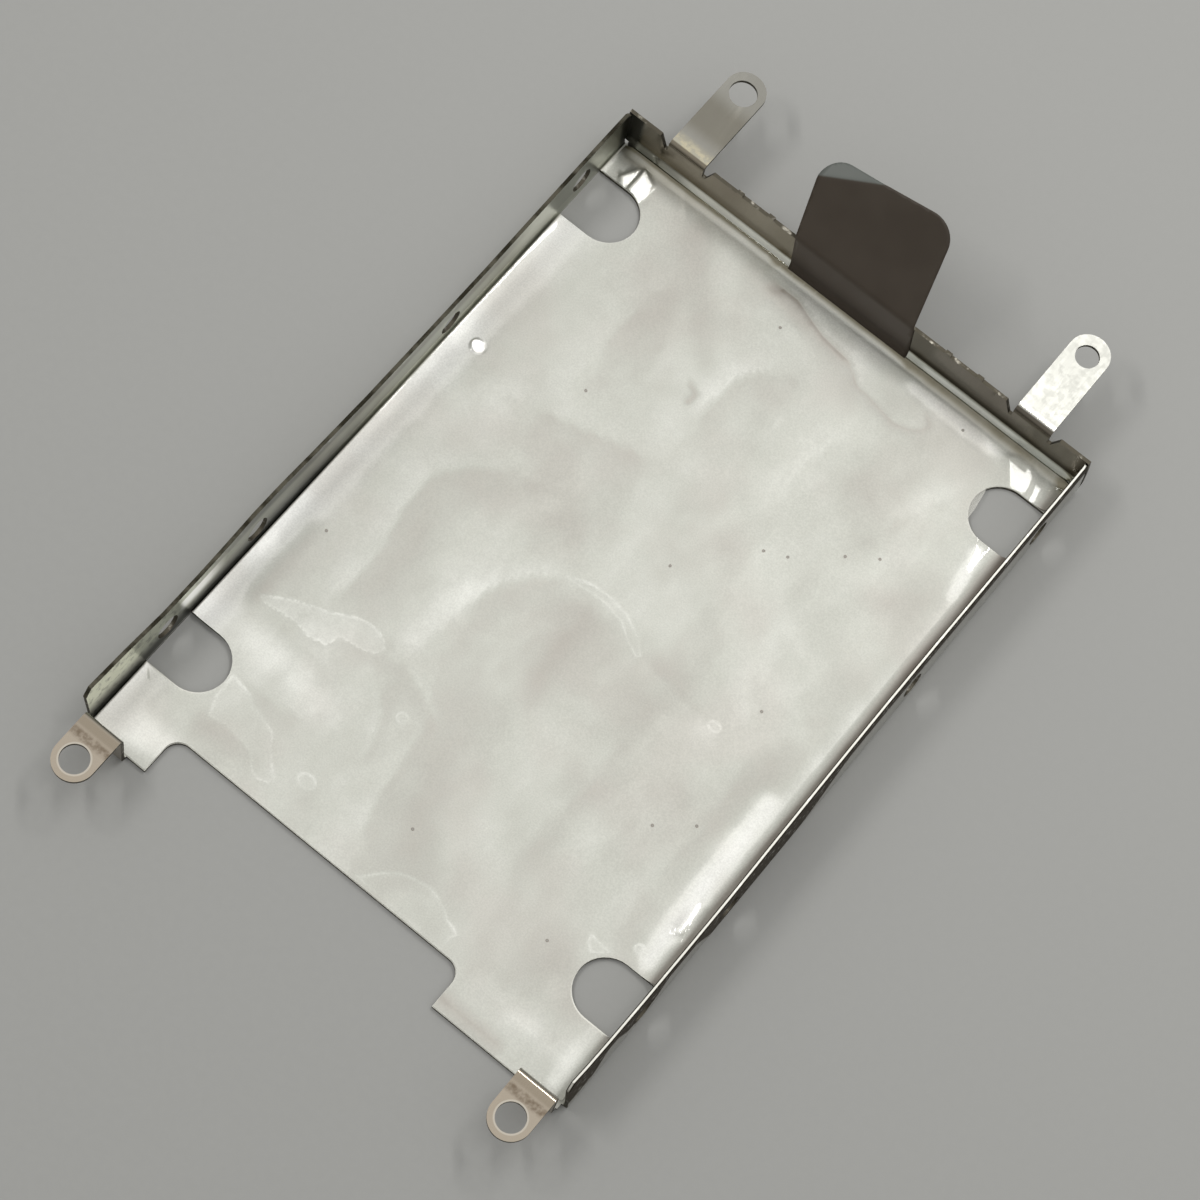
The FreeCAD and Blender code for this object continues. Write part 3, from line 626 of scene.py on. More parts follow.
# Creases: line, lift, half width
CREASES = [([(-16.8, 6.0), (-19.0, 4.5), (-21.5, 3.0), (-23.5, 1.5), (-24.6, -0.5), (-24.4, -4.0),
             (-23.5, -8.0), (-23.1, -12.0), (-23.5, -17.0), (-24.0, -20.0)], 0.070, 2.2),
           ([(-1.5, 37.0), (-3.5, 35.0), (-4.8, 32.5), (-5.2, 30.0), (-5.1, 26.0)], 0.060, 1.8),
           ([(-20.0, 33.0), (-20.2, 29.0), (-20.0, 25.0)], 0.050, 1.9),
           ([(-11.8, -11.5), (-10.6, -8.0), (-9.2, -5.0), (-7.2, -2.2), (-4.5, 0.2)], 0.060, 1.5),
           ([(-33.0, 17.0), (-25.0, 16.0), (-18.0, 16.2), (-12.0, 17.8), (-6.0, 19.2), (6.0, 20.0)],
            0.050, 2.6),
           ([(-15.0, -20.3), (-12.0, -21.0), (-8.0, -22.3), (-5.0, -23.2)], 0.035, 1.3),
           ([(-13.0, -24.0), (-10.0, -27.0), (-8.3, -31.0), (-8.0, -34.0)], 0.050, 1.8),
           ([(-20.3, -24.9), (-19.0, -25.5), (-17.4, -26.4), (-16.2, -26.9)], 0.020, 0.3),
           ([(-18.9, -40.4), (-17.8, -41.2), (-17.0, -42.0), (-16.3, -42.9), (-15.9, -43.8)], 0.015, 0.3),
           ([(-30.0, -39.8), (-29.2, -43.0), (-28.0, -46.0), (-27.0, -49.0)], 0.040, 0.9),
           ([(16.9, -45.0), (20.0, -44.6), (22.5, -44.8), (25.0, -45.8), (28.0, -45.6), (31.0, -46.6)],
            0.035, 0.8)]

# Facets of the loose film that lie over to the far lamp, and a small pimple by the left wall:
# outline, slope across, slope along, width of the edge
PIMPLE = (-31.15, 16.3)
far_left_facet = [(-32.3, 45.6), (-31.3, 47.7), (-30.6, 48.1), (-30.6, 44.6), (-31.4, 44.5)]
next_facet = [(-30.5, 48.1), (-28.6, 47.3), (-28.2, 45.2), (-28.5, 43.9), (-30.5, 44.5)]
far_right_facet = [(26.7, 47.5), (27.4, 48.3), (29.6, 48.5), (30.7, 47.6), (30.8, 45.9), (28.9, 44.7)]
FACETS = [(far_left_facet, -0.211, 0.040, 0.5), (next_facet, -0.205, 0.040, 0.5),
          (far_right_facet, -0.035, 0.010, 1.0),
          ([(31.1, 47.6), (31.5, 47.6), (32.4, 45.3), (31.9, 44.9)], -0.030, 0.010, 0.8),
          ([(30.6, 35.7), (31.2, 35.8), (31.8, 33.2), (31.3, 33.0)], -0.062, 0.011, 1.0),
          ([(32.2, -20.8), (32.7, -20.8), (32.8, -25.2), (32.3, -25.2)], -0.059, -0.103, 1.0),
          (ring(*PIMPLE, 0.85, 0.75), -0.214, -0.022, 0.35)]

# Folds as painted shading, walked with the shaded side on the right: line, darkness and its width, then the
# painted paleness of the other side and its width
FOLD_SHADING = [([(-24.2, -21.0), (-23.3, -18.0), (-23.0, -14.0), (-23.4, -10.0), (-24.4, -6.0), (-24.7, -2.0),
           (-24.0, 1.0), (-22.0, 3.4), (-19.5, 5.2), (-17.0, 6.2)], 0.24, 3.0, 0.16, 2.0),
         ([(-11.2, -12.0), (-10.6, -8.0), (-9.4, -5.0), (-7.5, -2.4), (-5.0, -0.4), (-3.5, 0.3)],
          0.22, 2.6, 0.18, 1.8),
         ([(-5.0, 25.0), (-5.3, 29.0), (-5.1, 32.0), (-4.5, 34.5), (-3.0, 36.6), (-1.0, 37.6)],
          0.24, 2.6, 0.26, 1.6),
         ([(-19.8, 24.6), (-20.0, 30.0), (-19.5, 34.5)], 0.20, 2.2, 0.24, 1.8),
         ([(-21.0, 14.6), (-15.0, 16.2), (-10.0, 17.6), (-6.0, 18.6)], 0.24, 2.0, 0.10, 3.0),
         ([(-2.0, -41.0), (-3.8, -36.0), (-4.6, -30.0), (-4.8, -26.0), (-6.2, -23.4)],
          0.26, 4.5, 0.08, 1.5),
         ([(-13.0, -20.4), (-9.0, -21.8), (-6.0, -23.2), (-3.0, -24.4)], 0.22, 2.2, 0.06, 1.5),
         ([(13.8, -31.0), (12.6, -25.0), (13.8, -18.0), (12.6, -9.0)], 0.10, 2.4, 0.08, 2.0),
         ([(27.6, -30.0), (26.0, -22.0), (27.2, -13.0), (26.0, -3.0)], 0.10, 2.4, 0.06, 2.0),
         ([(-8.0, -34.0), (-8.5, -31.0), (-10.0, -27.0), (-13.0, -24.2)], 0.18, 2.0, 0.14, 2.6),
         ([(-30.0, -26.2), (-22.0, -26.5), (-17.0, -27.6)], 0.16, 1.2, 0.0, 1.0),
         ([(-26.0, -34.0), (-20.0, -34.2), (-15.0, -33.0)], 0.14, 1.6, 0.10, 2.0),
         ([(20.2, 29.6), (21.2, 32.0), (22.4, 34.8)], 0.24, 1.4, 0.14, 1.6),
         ([(22.8, 35.2), (23.8, 37.2), (25.0, 39.2)], 0.20, 1.3, 0.10, 1.4),
         ([(22.0, -3.6), (16.0, -2.8), (8.0, -1.6)], 0.12, 1.6, 0.10, 1.6),
         ([(-3.2, -12.0), (-3.0, -8.0), (-1.0, -5.4)], 0.16, 2.0, 0.10, 1.4),
         ([(2.4, 22.0), (2.2, 28.0), (3.0, 35.0)], 0.02, 1.0, 0.14, 1.8),
         ([(-15.0, 34.5), (-13.8, 30.0), (-13.0, 26.0), (-11.0, 24.4)], 0.0, 1.0, 0.14, 2.0),
         ([(9.0, 24.0), (8.4, 30.0), (9.4, 36.5)], 0.10, 1.6, 0.12, 1.6),
         (tab_blister[1:10], 0.60, 1.3, 0.0, 1.2), (tab_blister[8:17], 0.16, 0.8, 0.12, 0.9)]

# Soft bands, brownish where the adhesive has let go and pale where it holds, with painted sheen and shade;
# the pale bands along the long edges and beside the right glints are painted light: line, half width,
# paleness
SHEEN_AND_STAIN_BANDS = [([(-2.5, -20.0), (-1.0, -28.0), (2.0, -34.0), (6.0, -39.0)], 2.6, -0.26),
         ([(14.2, -9.0), (14.4, -31.0)], 1.8, -0.10), ([(28.0, -2.0), (28.4, -29.0)], 1.8, -0.12),
         ([(-31.2, -15.0), (-31.0, -25.0)], 1.6, -0.52),
         ([(-20.5, 46.0), (-16.0, 41.0), (-9.5, 33.0)], 1.8, -0.22),
         ([(26.0, 22.0), (30.0, 27.0)], 1.6, -0.16), ([(-9.0, 46.0), (-3.0, 44.8)], 1.0, -0.25),
         ([(16.5, -48.6), (25.0, -48.8)], 0.9, -0.40),
         ([(-25.0, -41.2), (-17.5, -41.2)], 1.3, -0.16), ([(-21.4, -6.0), (-21.0, -17.0)], 1.6, -0.14),
         ([(-8.6, 29.5), (-7.4, 28.9), (-7.5, 27.4)], 0.45, -0.50),
         ([(-12.0, 26.0), (-8.5, 28.0)], 1.1, -0.18),
         ([(-7.0, -6.0), (-4.0, -3.0), (3.0, -1.8)], 2.2, -0.10), ([(0.0, -6.0), (1.0, -12.0)], 1.3, -0.16),
         ([(-28.0, -29.5), (-17.0, -30.5)], 2.8, 0.30), ([(32.2, -48.0), (32.4, 28.0)], 0.7, 0.28),
         ([(-33.4, -48.0), (-33.2, -41.0)], 2.2, 0.65), ([(-33.4, -31.0), (-33.4, 36.0)], 2.5, 0.95),
         ([(-34.5, -48.0), (-34.5, 48.0)], 0.40, 0.9), ([(-13.0, -9.0), (-13.5, -17.0)], 2.2, 0.20),
         ([(10.0, -22.0), (20.0, -26.0)], 3.0, 0.10), ([(20.0, 8.0), (24.0, -8.0)], 2.6, 0.10),
         ([(-27.0, 30.0), (-26.0, 10.0)], 2.4, 0.10), ([(-27.0, -46.5), (-32.0, -47.0)], 2.4, 0.60),
         ([(19.0, -46.0), (31.0, -44.0)], 2.0, 0.20), (tab_blister[2:18], 0.25, -0.34),
         ([(31.0, -6.0), (31.6, -30.0)], 1.3, 0.75),
         ([(31.0, 35.5), (32.0, 29.0)], 0.8, 0.7)]

# Specks of dirt caught under the film
SPECKS = [(-17.7, 20.4), (-5.0, 42.7), (4.0, 9.4), (23.5, 2.2), (22.6, 26.7), (11.3, 18.3),
          (14.0, 19.6), (19.2, 24.2), (20.2, 46.8), (26.3, -13.8), (22.3, -17.1), (21.6, -35.7),
          (1.5, -35.5), (-29.6, -13.9)]
SPECK_ACROSS = 0.17
SPECK_TONE = -3.0

# Points of the sheet: an even spread, closer on the end bend, by blisters, facets, specks, sliver and tear
FILM_STEP = 0.7
BEND_STEP = 0.6
BEND_ROWS = (48.05, 48.3, 48.55, 48.8, 49.05, 49.25)
SLIVER_ROWS = (3.88, 3.96, 4.04, 4.12)
TEAR_ROWS = (-0.18, -0.06, 0.06, 0.18)
FACET_RIM = 0.5
EDGE_CLEARANCE = 0.12
film_edge = walked(film_corners, FILM_OUTLINE_STEP, True)
inner = [(x, y) for x in np.arange(-34.0, 34.01, FILM_STEP) for y in np.arange(-49.4, 48.0, FILM_STEP)]
inner += [(x, y) for x in np.arange(-34.2, 34.21, BEND_STEP) for y in BEND_ROWS]
finer = [(blister[0], blister[2]) for blister in BLISTERS] + [(facet[0], FACET_RIM) for facet in FACETS]
finer.append((ring(*PIMPLE, 1.0, 1.0), 0.3))
for outline, rim in finer:
    line = np.array(walked(outline, 0.3, True))
    ahead = np.roll(line, -1, axis=0) - np.roll(line, 1, axis=0)
    side = np.stack([ahead[:, 1], -ahead[:, 0]], axis=1) / np.linalg.norm(ahead, axis=1)[:, None]
    for away in (-rim, -0.2, 0.0, 0.2, rim):
        inner += [tuple(point) for point in line + side * away]
for speck_x, speck_y in SPECKS:
    inner.append((speck_x, speck_y))
    for away in (SPECK_ACROSS * 0.7, SPECK_ACROSS * 1.4):
        inner += arc_points(speck_x, speck_y, away, 0, 300, 6)
for away in SLIVER_ROWS:
    inner += arc_points(CUT_OUT_MIDDLE, FAR_CUT_OUT, away, 140, 235, 40)
tear = [(-34.5, -40.25), (-33.9, -40.7), (-33.3, -41.3)]
for away in TEAR_ROWS:
    inner += [(px + away, py + away) for px, py in walked(tear, 0.15, False)]
inner = np.array(inner)
inner = inner[inside(inner, film_edge)]
inner = inner[distance_to(inner, film_edge, True) > EDGE_CLEARANCE]


def flat_sheet(edge, inner_points):
    """Triangles over a flat outline through the given points: places and corner numbers."""
    count = len(edge)
    places = [Vector(point) for point in edge] + [Vector(point) for point in inner_points]
    rim = [(k, (k + 1) % count) for k in range(count)]
    result = delaunay_2d_cdt(places, rim, [list(range(count))], 1, 1e-5)
    return np.array([tuple(point) for point in result[0]]), [tuple(face) for face in result[2]]


film_points, film_faces = flat_sheet(film_edge, inner)
x = film_points[:, 0]
y = film_points[:, 1]


# Waves of the loose film: height, how close they follow across and along, layer of the noise
FILM_REST = 0.10
FILM_WAVES = [(0.18, 0.055, 0.042, 3.0), (0.035, 0.14, 0.11, 9.0), (0.010, 0.34, 0.28, 1.0)]


def wavy(points):
    """How high the loosened film stands off the flat floor."""
    lift = np.full(len(points), FILM_REST)
    for height, across_scale, along_scale, layer in FILM_WAVES:
        places = [Vector((px * across_scale, py * along_scale, layer)) for px, py in points]
        lift += height * np.array([noise.noise(place) for place in places])
    for line, height, half_width in CREASES:
        away, _, from_ends = beside(points, line)
        fade = smooth(from_ends, 0.0, 2.5 * half_width)
        lift += height * fade * np.exp(-(away / half_width) ** 2)
    for outline, height, rim, _, _ in BLISTERS:
        away = distance_to(points, outline, True)
        lift += height * smooth(np.where(inside(points, outline), away, -away), -rim, rim)
    return lift


# Tone: above nought the film is whitened, below it is browned; the tone carries painted light and shade as
# well as stains. Slopes towards the left lamp get painted light, slopes away from it painted shade.
SLOPE_SHADING = 2.0
SLOPE_SHADING_MOST = 0.16
lift = wavy(film_points)
to_lamp = np.array([0.109, -0.049])
rising = (wavy(film_points + to_lamp) - wavy(film_points - to_lamp)) / (2 * np.linalg.norm(to_lamp))
film_tone = np.clip(SLOPE_SHADING * rising, -SLOPE_SHADING_MOST, SLOPE_SHADING_MOST)
faint = np.array([noise.noise(Vector((px * 0.35, py * 0.35, 5.0))) for px, py in film_points])
for outline, _, _, edge_white, inside_white in BLISTERS:
    away = distance_to(film_points, outline, True)
    film_tone += edge_white * (0.6 + 0.6 * faint) * (1.0 - smooth(away, 0.0, 0.35))
    film_tone += np.where(inside(film_points, outline), inside_white, 0.0)
# Painted light and shade along each fold
for line, darkness, dark_width, paleness, pale_width in FOLD_SHADING:
    to_line, dark_side, from_ends = beside(film_points, line)
    on_dark = smooth(np.where(dark_side, to_line, -to_line), -0.4, 0.4)
    fold_shade = (1.0 - on_dark) * paleness * np.exp(-to_line / pale_width)
    fold_shade -= on_dark * darkness * np.exp(-to_line / dark_width)
    film_tone += fold_shade * smooth(from_ends, 0.0, 2.5)
for line, half_width, paleness in SHEEN_AND_STAIN_BANDS:
    film_tone += paleness * np.exp(-(distance_to(film_points, line, False) / half_width) ** 2)

# Under the tab the blister is painted a little paler than its rim, painted light against the tab's shadow
UNDER_TAB_LIGHT = 0.15
under_tab = inside(film_points, tab_blister) * (1.0 - smooth(x, 6.0, 11.0)) * (1.0 - smooth(y, 48.2, 48.6))
film_tone += UNDER_TAB_LIGHT * under_tab * smooth(distance_to(film_points, tab_blister, True), 0.1, 0.6)

# Along the end wall a painted shade darkens the film on its way up the bend: how much, from where and over
# what width, by x
FOOT_SHADE = [(-34.0, 0.66), (-31.0, 0.66), (-26.0, 0.60), (-20.0, 0.48), (-12.0, 0.45), (-10.5, 1.15),
              (9.0, 1.15), (10.5, 0.95), (24.0, 0.95), (34.0, 0.80)]
FOOT_START = [(-34.0, 46.8), (-24.0, 47.6), (-11.0, 47.9), (-10.0, 48.4), (9.0, 48.4), (10.0, 48.0),
              (34.0, 47.9)]
FOOT_WIDTH = [(-11.0, 1.7), (-10.0, 1.1), (9.0, 1.1), (10.0, 1.3)]
up_the_bend = (y - between(x, FOOT_START)) / between(x, FOOT_WIDTH)
film_tone -= between(x, FOOT_SHADE) * smooth(up_the_bend, 0.0, 1.0)

# Painted shade darkens the far edge left of the tab, and a painted highlight lies along a strip right of
# the tab
FAR_EDGE_SHADE = 0.8
BESIDE_TAB_HIGHLIGHT = 0.90
film_tone -= FAR_EDGE_SHADE * smooth(y, 49.1, 49.48) * (1.0 - smooth(x, -12.0, -10.0))
beside_tab = smooth(x, 10.0, 13.0) * (1.0 - smooth(x, 24.0, 27.0))
film_tone += BESIDE_TAB_HIGHLIGHT * np.exp(-((y - 47.2) / 0.8) ** 2) * beside_tab

# Along the right wall a painted shade darkens it where it turns up, from this far across, by y
RIGHT_FOOT_SHADE = 0.75
RIGHT_FOOT = [(-48.0, 33.1), (-30.0, 33.1), (-5.0, 32.9), (10.0, 32.4), (36.0, 32.4)]
film_tone -= RIGHT_FOOT_SHADE * smooth(x - between(y, RIGHT_FOOT), 0.0, 1.4) * smooth(y, -46.0, -39.0)

# The tear is brown, the pimple carries a painted highlight and each speck is the darkest of all
TEAR_BROWN = 0.9
TEAR_HALF_WIDTH = 0.12
PIMPLE_HIGHLIGHT = 1.2
PIMPLE_HALF_WIDTH = 1.05
film_tone -= TEAR_BROWN * np.exp(-(distance_to(film_points, tear, False) / TEAR_HALF_WIDTH) ** 2)
from_pimple = np.hypot(x - PIMPLE[0], y - PIMPLE[1]) / PIMPLE_HALF_WIDTH
film_tone += PIMPLE_HIGHLIGHT * (1.0 - smooth(from_pimple, 0.75, 1.1))
for speck_x, speck_y in SPECKS:
    on_speck = np.hypot(x - speck_x, y - speck_y) < SPECK_ACROSS * 0.9
    film_tone = np.where(on_speck, SPECK_TONE, film_tone)

# Heights: the long edges curl up, the far edge follows the end wall's bend, and the facets lie as planes
LEFT_CURL = 0.11
RIGHT_CURL = 0.05
RIGHT_LIP = 0.6
LEFT_CURL_START = -33.2
RIGHT_CURL_START = [(-48.0, 31.2), (0.0, 31.4), (36.0, 31.9), (49.0, 31.5)]
RIGHT_LIP_START = 33.3
FACET_RISE = 0.05
lift += LEFT_CURL * np.clip(LEFT_CURL_START - x, 0.0, None) ** 2 * (1.0 - smooth(y, 34.0, 37.0))
lift += RIGHT_CURL * np.clip(x - between(y, RIGHT_CURL_START), 0.0, None) ** 2
lift += RIGHT_LIP * np.clip(x - RIGHT_LIP_START, 0.0, None) ** 2
on_bend = np.clip(y - END_ROUND_START, 0.0, 0.95 * END_ROUND)
lift = np.maximum(lift, 0.0) * (1.0 - 0.7 * smooth(on_bend, 0.0, 0.6))
lift += (END_ROUND - np.sqrt(END_ROUND ** 2 - on_bend ** 2)) * smooth(ROUND_SIDE - np.abs(x), 0.0, 1.0)
for outline, across_slope, along_slope, edge_width in FACETS:
    slope = np.array([across_slope, along_slope])
    corners = np.array(outline)
    middle = np.mean(corners, axis=0)
    lowest = np.min((corners - middle) @ slope)
    plane = FACET_RISE - lowest + (film_points - middle) @ slope
    away = np.where(inside(film_points, outline), 0.0, distance_to(film_points, outline, True))
    held = 1.0 - smooth(away, 0.0, edge_width)
    lift = lift * (1.0 - held) + np.maximum(plane, lift * 0.3) * held


def sheet_object(name, points, faces, under, over, material):
    """A closed thin sheet between an under and an over height at each point, as a new object."""
    count = len(points)
    verts = [(px * MM, py * MM, z * MM) for (px, py), z in zip(points, over)]
    verts += [(px * MM, py * MM, z * MM) for (px, py), z in zip(points, under)]
    sides = {}
    for face in faces:
        for a, b in zip(face, face[1:] + face[:1]):
            if (b, a) in sides:
                del sides[(b, a)]
            else:
                sides[(a, b)] = True
    polygons = list(faces) + [tuple(count + k for k in reversed(face)) for face in faces]
    polygons += [(b, a, count + a, count + b) for a, b in sides]
    mesh = bpy.data.meshes.new(name)
    mesh.from_pydata(verts, [], polygons)
    mesh.shade_smooth()
    mesh.set_sharp_from_angle(angle=math.radians(40))
    mesh.materials.append(material)
    made = bpy.data.objects.new(name, mesh)
    bpy.context.scene.collection.objects.link(made)
    return made


def mark_points(made, name, values):
    """Gives both skins of a sheet a value at each point, for its material to read."""
    mark = made.data.attributes.new(name, "FLOAT", "POINT")
    mark.data.foreach_set("value", np.concatenate([values, values]).astype(np.float32))


FILM_CLEAR = (0.845, 0.852, 0.797)
FILM_WHITE = (1.0, 1.0, 0.98)
FILM_BLUSH = (0.79, 0.762, 0.715)
FILM_GRAIN = (0.32, 0.32, 0.295)
ADHESIVE_AND_SHADE = (0.25, 0.195, 0.163)
END_FOOT_SHADE = (0.25, 0.223, 0.150)
DIRT = (0.36, 0.35, 0.325)
clear, tree, surface = new_material("clear_film")
place = in_millimetres()
along = step("SeparateXYZ", {0: place}).outputs["Y"]
streaks = patches(stretched(place, (0.12, 0.05, 0.0)), 1.0, 3.0, 0.5)
crumple = patches(place, 0.30, 4.0, 0.6)
tone = reckoned("ADD", marked("tone"), ramp(streaks, 0.30, 0.70, 0.13, -0.13))
tone = reckoned("ADD", tone, ramp(crumple, 0.30, 0.70, 0.045, -0.045))
# Tone above nought whitens the film and below nought browns it; both carry painted light and shade besides
# the film's own whitening and stains
whitened_and_lit = reckoned("MAXIMUM", tone, 0.0)
browned_and_shaded = reckoned("MAXIMUM", product(tone, -1.0), 0.0)
colour = blend(whitened_and_lit, FILM_CLEAR, FILM_WHITE)
blush = ramp(patches(place, 0.07, 2.0), 0.44, 0.66, 0.0, 0.52)
colour = blend(blush, colour, FILM_BLUSH)
# Towards the end wall the brown turns to the olive of the painted shade at the film's foot
brown = blend(ramp(along, 46.5, 48.0), ADHESIVE_AND_SHADE, END_FOOT_SHADE)
brown = blend(ramp(browned_and_shaded, 1.9, 2.3), brown, DIRT)
colour = blend(browned_and_shaded, colour, brown)
fine_grain = ramp(patches(place, 5.0, 2.0, 0.6), 0.25, 0.75, 0.0, 0.21)
colour = blend(fine_grain, colour, FILM_GRAIN)
tree.links.new(colour, surface.inputs["Base Color"])
surface.inputs["Metallic"].default_value = 1.0
haze = patches(place, 0.10, 2.0)
tree.links.new(ramp(haze, 0.3, 0.7, 0.56, 0.62), surface.inputs["Roughness"])
either_tone = reckoned("ABSOLUTE", tone, 0.0)
cover = ramp(either_tone, 0.0, 0.5, 0.62, 0.95)
cover = product(cover, ramp(marked("bridging"), 0.0, 1.0, 1.0, 0.45))
tree.links.new(cover, surface.inputs["Alpha"])
surface.inputs["Coat Weight"].default_value = 1.0
surface.inputs["Coat Roughness"].default_value = 0.03
film_under = FLOOR_TOP + FILM_GAP + lift
film = sheet_object("clear_film_sheet", film_points, film_faces, film_under,
                    film_under + FILM_THICKNESS, clear)
mark_points(film, "tone", film_tone)
from_middle = np.hypot(x - CUT_OUT_MIDDLE, y - FAR_CUT_OUT)
mark_points(film, "bridging", (1.0 - smooth(from_middle, 3.95, 4.05)) * (x < 30.0))
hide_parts("insulating_film")
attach(film, "root")


# Pull tab: a strip of dark satin film, cut with round corners, glued up the inside of the end wall and
# folded back over its top edge. One free corner is turned back along a crease.

TAB_THICKNESS = 0.18
TAB_HALF = 9.1
TAB_REACH = 12.8
TAB_MIDDLE = -0.75
TAB_CORNER = 3.3
TAB_SHEAR = 0.044
TAB_LEAN = math.radians(48.0)
TAB_SKEW = math.radians(11.0)
TAB_SLIDE = math.tan(math.radians(4.5)) * (WALL_TOP - FLOOR_TOP)
FOLD_RADIUS = 1.3
FOOT_RADIUS = END_ROUND - TAB_THICKNESS / 2
EAR_SIDE = 3.0
EAR_END = 8.4
EAR_TURN = math.radians(24.0)
EAR_ROUND = 0.5
LEFT_TRIM = 0.38
TAB_FOOT_SHORT = 0.6
TAB_FOOT_RISE = 0.15
TAB_WALL_GAP = 0.02


def on_strip(right, forward):
    """From the cut strip's own ways to across and along the end wall's fold."""
    forward += TAB_SHEAR * (TAB_HALF - right) * forward / TAB_REACH
    across = TAB_MIDDLE + right * math.cos(TAB_SKEW) - forward * math.sin(TAB_SKEW)
    along = right * math.sin(TAB_SKEW) + forward * math.cos(TAB_SKEW)
    return across, along


half_fold = TAB_HALF / math.cos(TAB_SKEW)
glued = WALL_TOP - FLOOR_TOP - TAB_FOOT_SHORT
tab_left = TAB_MIDDLE - half_fold + LEFT_TRIM
tab_right = TAB_MIDDLE + half_fold
tab_corners = [(tab_left + TAB_SLIDE, -glued), (tab_right + TAB_SLIDE, -glued), (tab_right, 0.0)]
for right, start in ((TAB_HALF - TAB_CORNER, 0), (TAB_CORNER - TAB_HALF, 90)):
    corner = arc_points(right, TAB_REACH - TAB_CORNER, TAB_CORNER, start, start + 90, 12)
    tab_corners += [on_strip(*point) for point in corner]
tab_corners += [(tab_left, 0.0)]
tab_edge = walked(tab_corners, 0.4, True)
tab_inner = [(px, py) for px in np.arange(-12.0, 12.0, 0.5) for py in np.arange(-7.2, 16.0, 0.25)]
tab_inner = np.array(tab_inner)
tab_inner = tab_inner[inside(tab_inner, tab_edge)]
tab_inner = tab_inner[distance_to(tab_inner, tab_edge, True) > 0.18]
tab_points, tab_faces = flat_sheet(tab_edge, tab_inner)
crease_from = np.array(on_strip(-TAB_HALF, TAB_REACH - EAR_SIDE))
crease_to = np.array(on_strip(EAR_END - TAB_HALF, TAB_REACH))
crease_way = (crease_to - crease_from) / np.linalg.norm(crease_to - crease_from)
crease_out = np.array([-crease_way[1], crease_way[0]])


def bent(point, above):
    """A point of the flat strip, above its middle by a part of the thickness, on the folded tab."""
    across, along = point
    beyond = (np.array(point) - crease_from) @ crease_out
    drop = 0.0
    tilt = 0.0
    if beyond > 0.0:
        tilt = min(beyond / EAR_ROUND, EAR_TURN)
        reach = EAR_ROUND * math.sin(tilt)
        drop = EAR_ROUND * (1.0 - math.cos(tilt))
        rest = max(0.0, beyond - EAR_ROUND * EAR_TURN)
        reach += rest * math.cos(EAR_TURN)
        drop += rest * math.sin(EAR_TURN)
        across, along = np.array(point) + crease_out * (reach - beyond)
        across += crease_out[0] * above * math.sin(tilt)
        along += crease_out[1] * above * math.sin(tilt)
    height = above * math.cos(tilt) - drop
    middle_y = END_WALL_INSIDE - TAB_THICKNESS / 2 - TAB_WALL_GAP
    turn = math.pi / 2 - TAB_LEAN
    arc = FOLD_RADIUS * turn
    foot_start = -(WALL_TOP - FLOOR_TOP - TAB_FOOT_RISE - FOOT_RADIUS)
    if along < foot_start:
        angle = min((foot_start - along) / FOOT_RADIUS, math.pi / 2)
        y = middle_y - FOOT_RADIUS * (1.0 - math.cos(angle)) - height * math.cos(angle)
        z = WALL_TOP + foot_start - FOOT_RADIUS * math.sin(angle) + height * math.sin(angle)
    elif along < 0.0:
        y = middle_y - height
        z = WALL_TOP + along
    elif along < arc:
        angle = along / FOLD_RADIUS
        y = middle_y + FOLD_RADIUS - (FOLD_RADIUS + height) * math.cos(angle)
        z = WALL_TOP + (FOLD_RADIUS + height) * math.sin(angle)
    else:
        free = along - arc
        y = middle_y + FOLD_RADIUS - (FOLD_RADIUS + height) * math.cos(turn) + free * math.cos(TAB_LEAN)
        z = WALL_TOP + (FOLD_RADIUS + height) * math.sin(turn) + free * math.sin(TAB_LEAN)
    return across * MM, y * MM, z * MM


TAB_DARK = (0.048, 0.037, 0.027)
TAB_LIGHT = (0.056, 0.044, 0.033)
TAB_GLUED = (0.061, 0.045, 0.034)
TAB_FOOT_SHADE = (0.036, 0.026, 0.018)
TAB_TURNED_REFLECTION = (0.128, 0.138, 0.128)
dark, tree, surface = new_material("tab_film")
place = in_millimetres()
cloud = patches(place, 0.12, 2.0)
colour = blend(ramp(cloud, 0.35, 0.65), TAB_DARK, TAB_LIGHT)
tab_height = step("SeparateXYZ", {0: place}).outputs["Z"]
colour = blend(ramp(tab_height, 8.8, 7.2), colour, TAB_GLUED)
# Painted shade darkens the tab towards its foot
colour = blend(ramp(tab_height, 5.5, 1.5), colour, TAB_FOOT_SHADE)
# The turned corner is painted lighter, a painted reflection of the light it catches
colour = blend(ramp(marked("turned"), -0.05, 0.25), colour, TAB_TURNED_REFLECTION)
tree.links.new(colour, surface.inputs["Base Color"])
tree.links.new(ramp(cloud, 0.3, 0.7, 0.42, 0.52), surface.inputs["Roughness"])
surface.inputs["Specular IOR Level"].default_value = 0.35

# The strip is cut out flat, then each of its points is folded into place
tab_flat = np.zeros(len(tab_points))
tab = sheet_object("pull_tab_film", tab_points, tab_faces, tab_flat, tab_flat, dark)
for number, point in enumerate(tab_points):
    tab.data.vertices[number].co = bent(tuple(point), TAB_THICKNESS / 2)
    tab.data.vertices[number + len(tab_points)].co = bent(tuple(point), -TAB_THICKNESS / 2)
mark_points(tab, "turned", (tab_points - crease_from) @ crease_out)
tab.data.update()
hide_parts("pull_tab")
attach(tab, "root")


# Set: a matt grey bench top under the caddy, two tube lamps and a plain room that is paler overhead.
# The camera stands where the photograph was taken from.

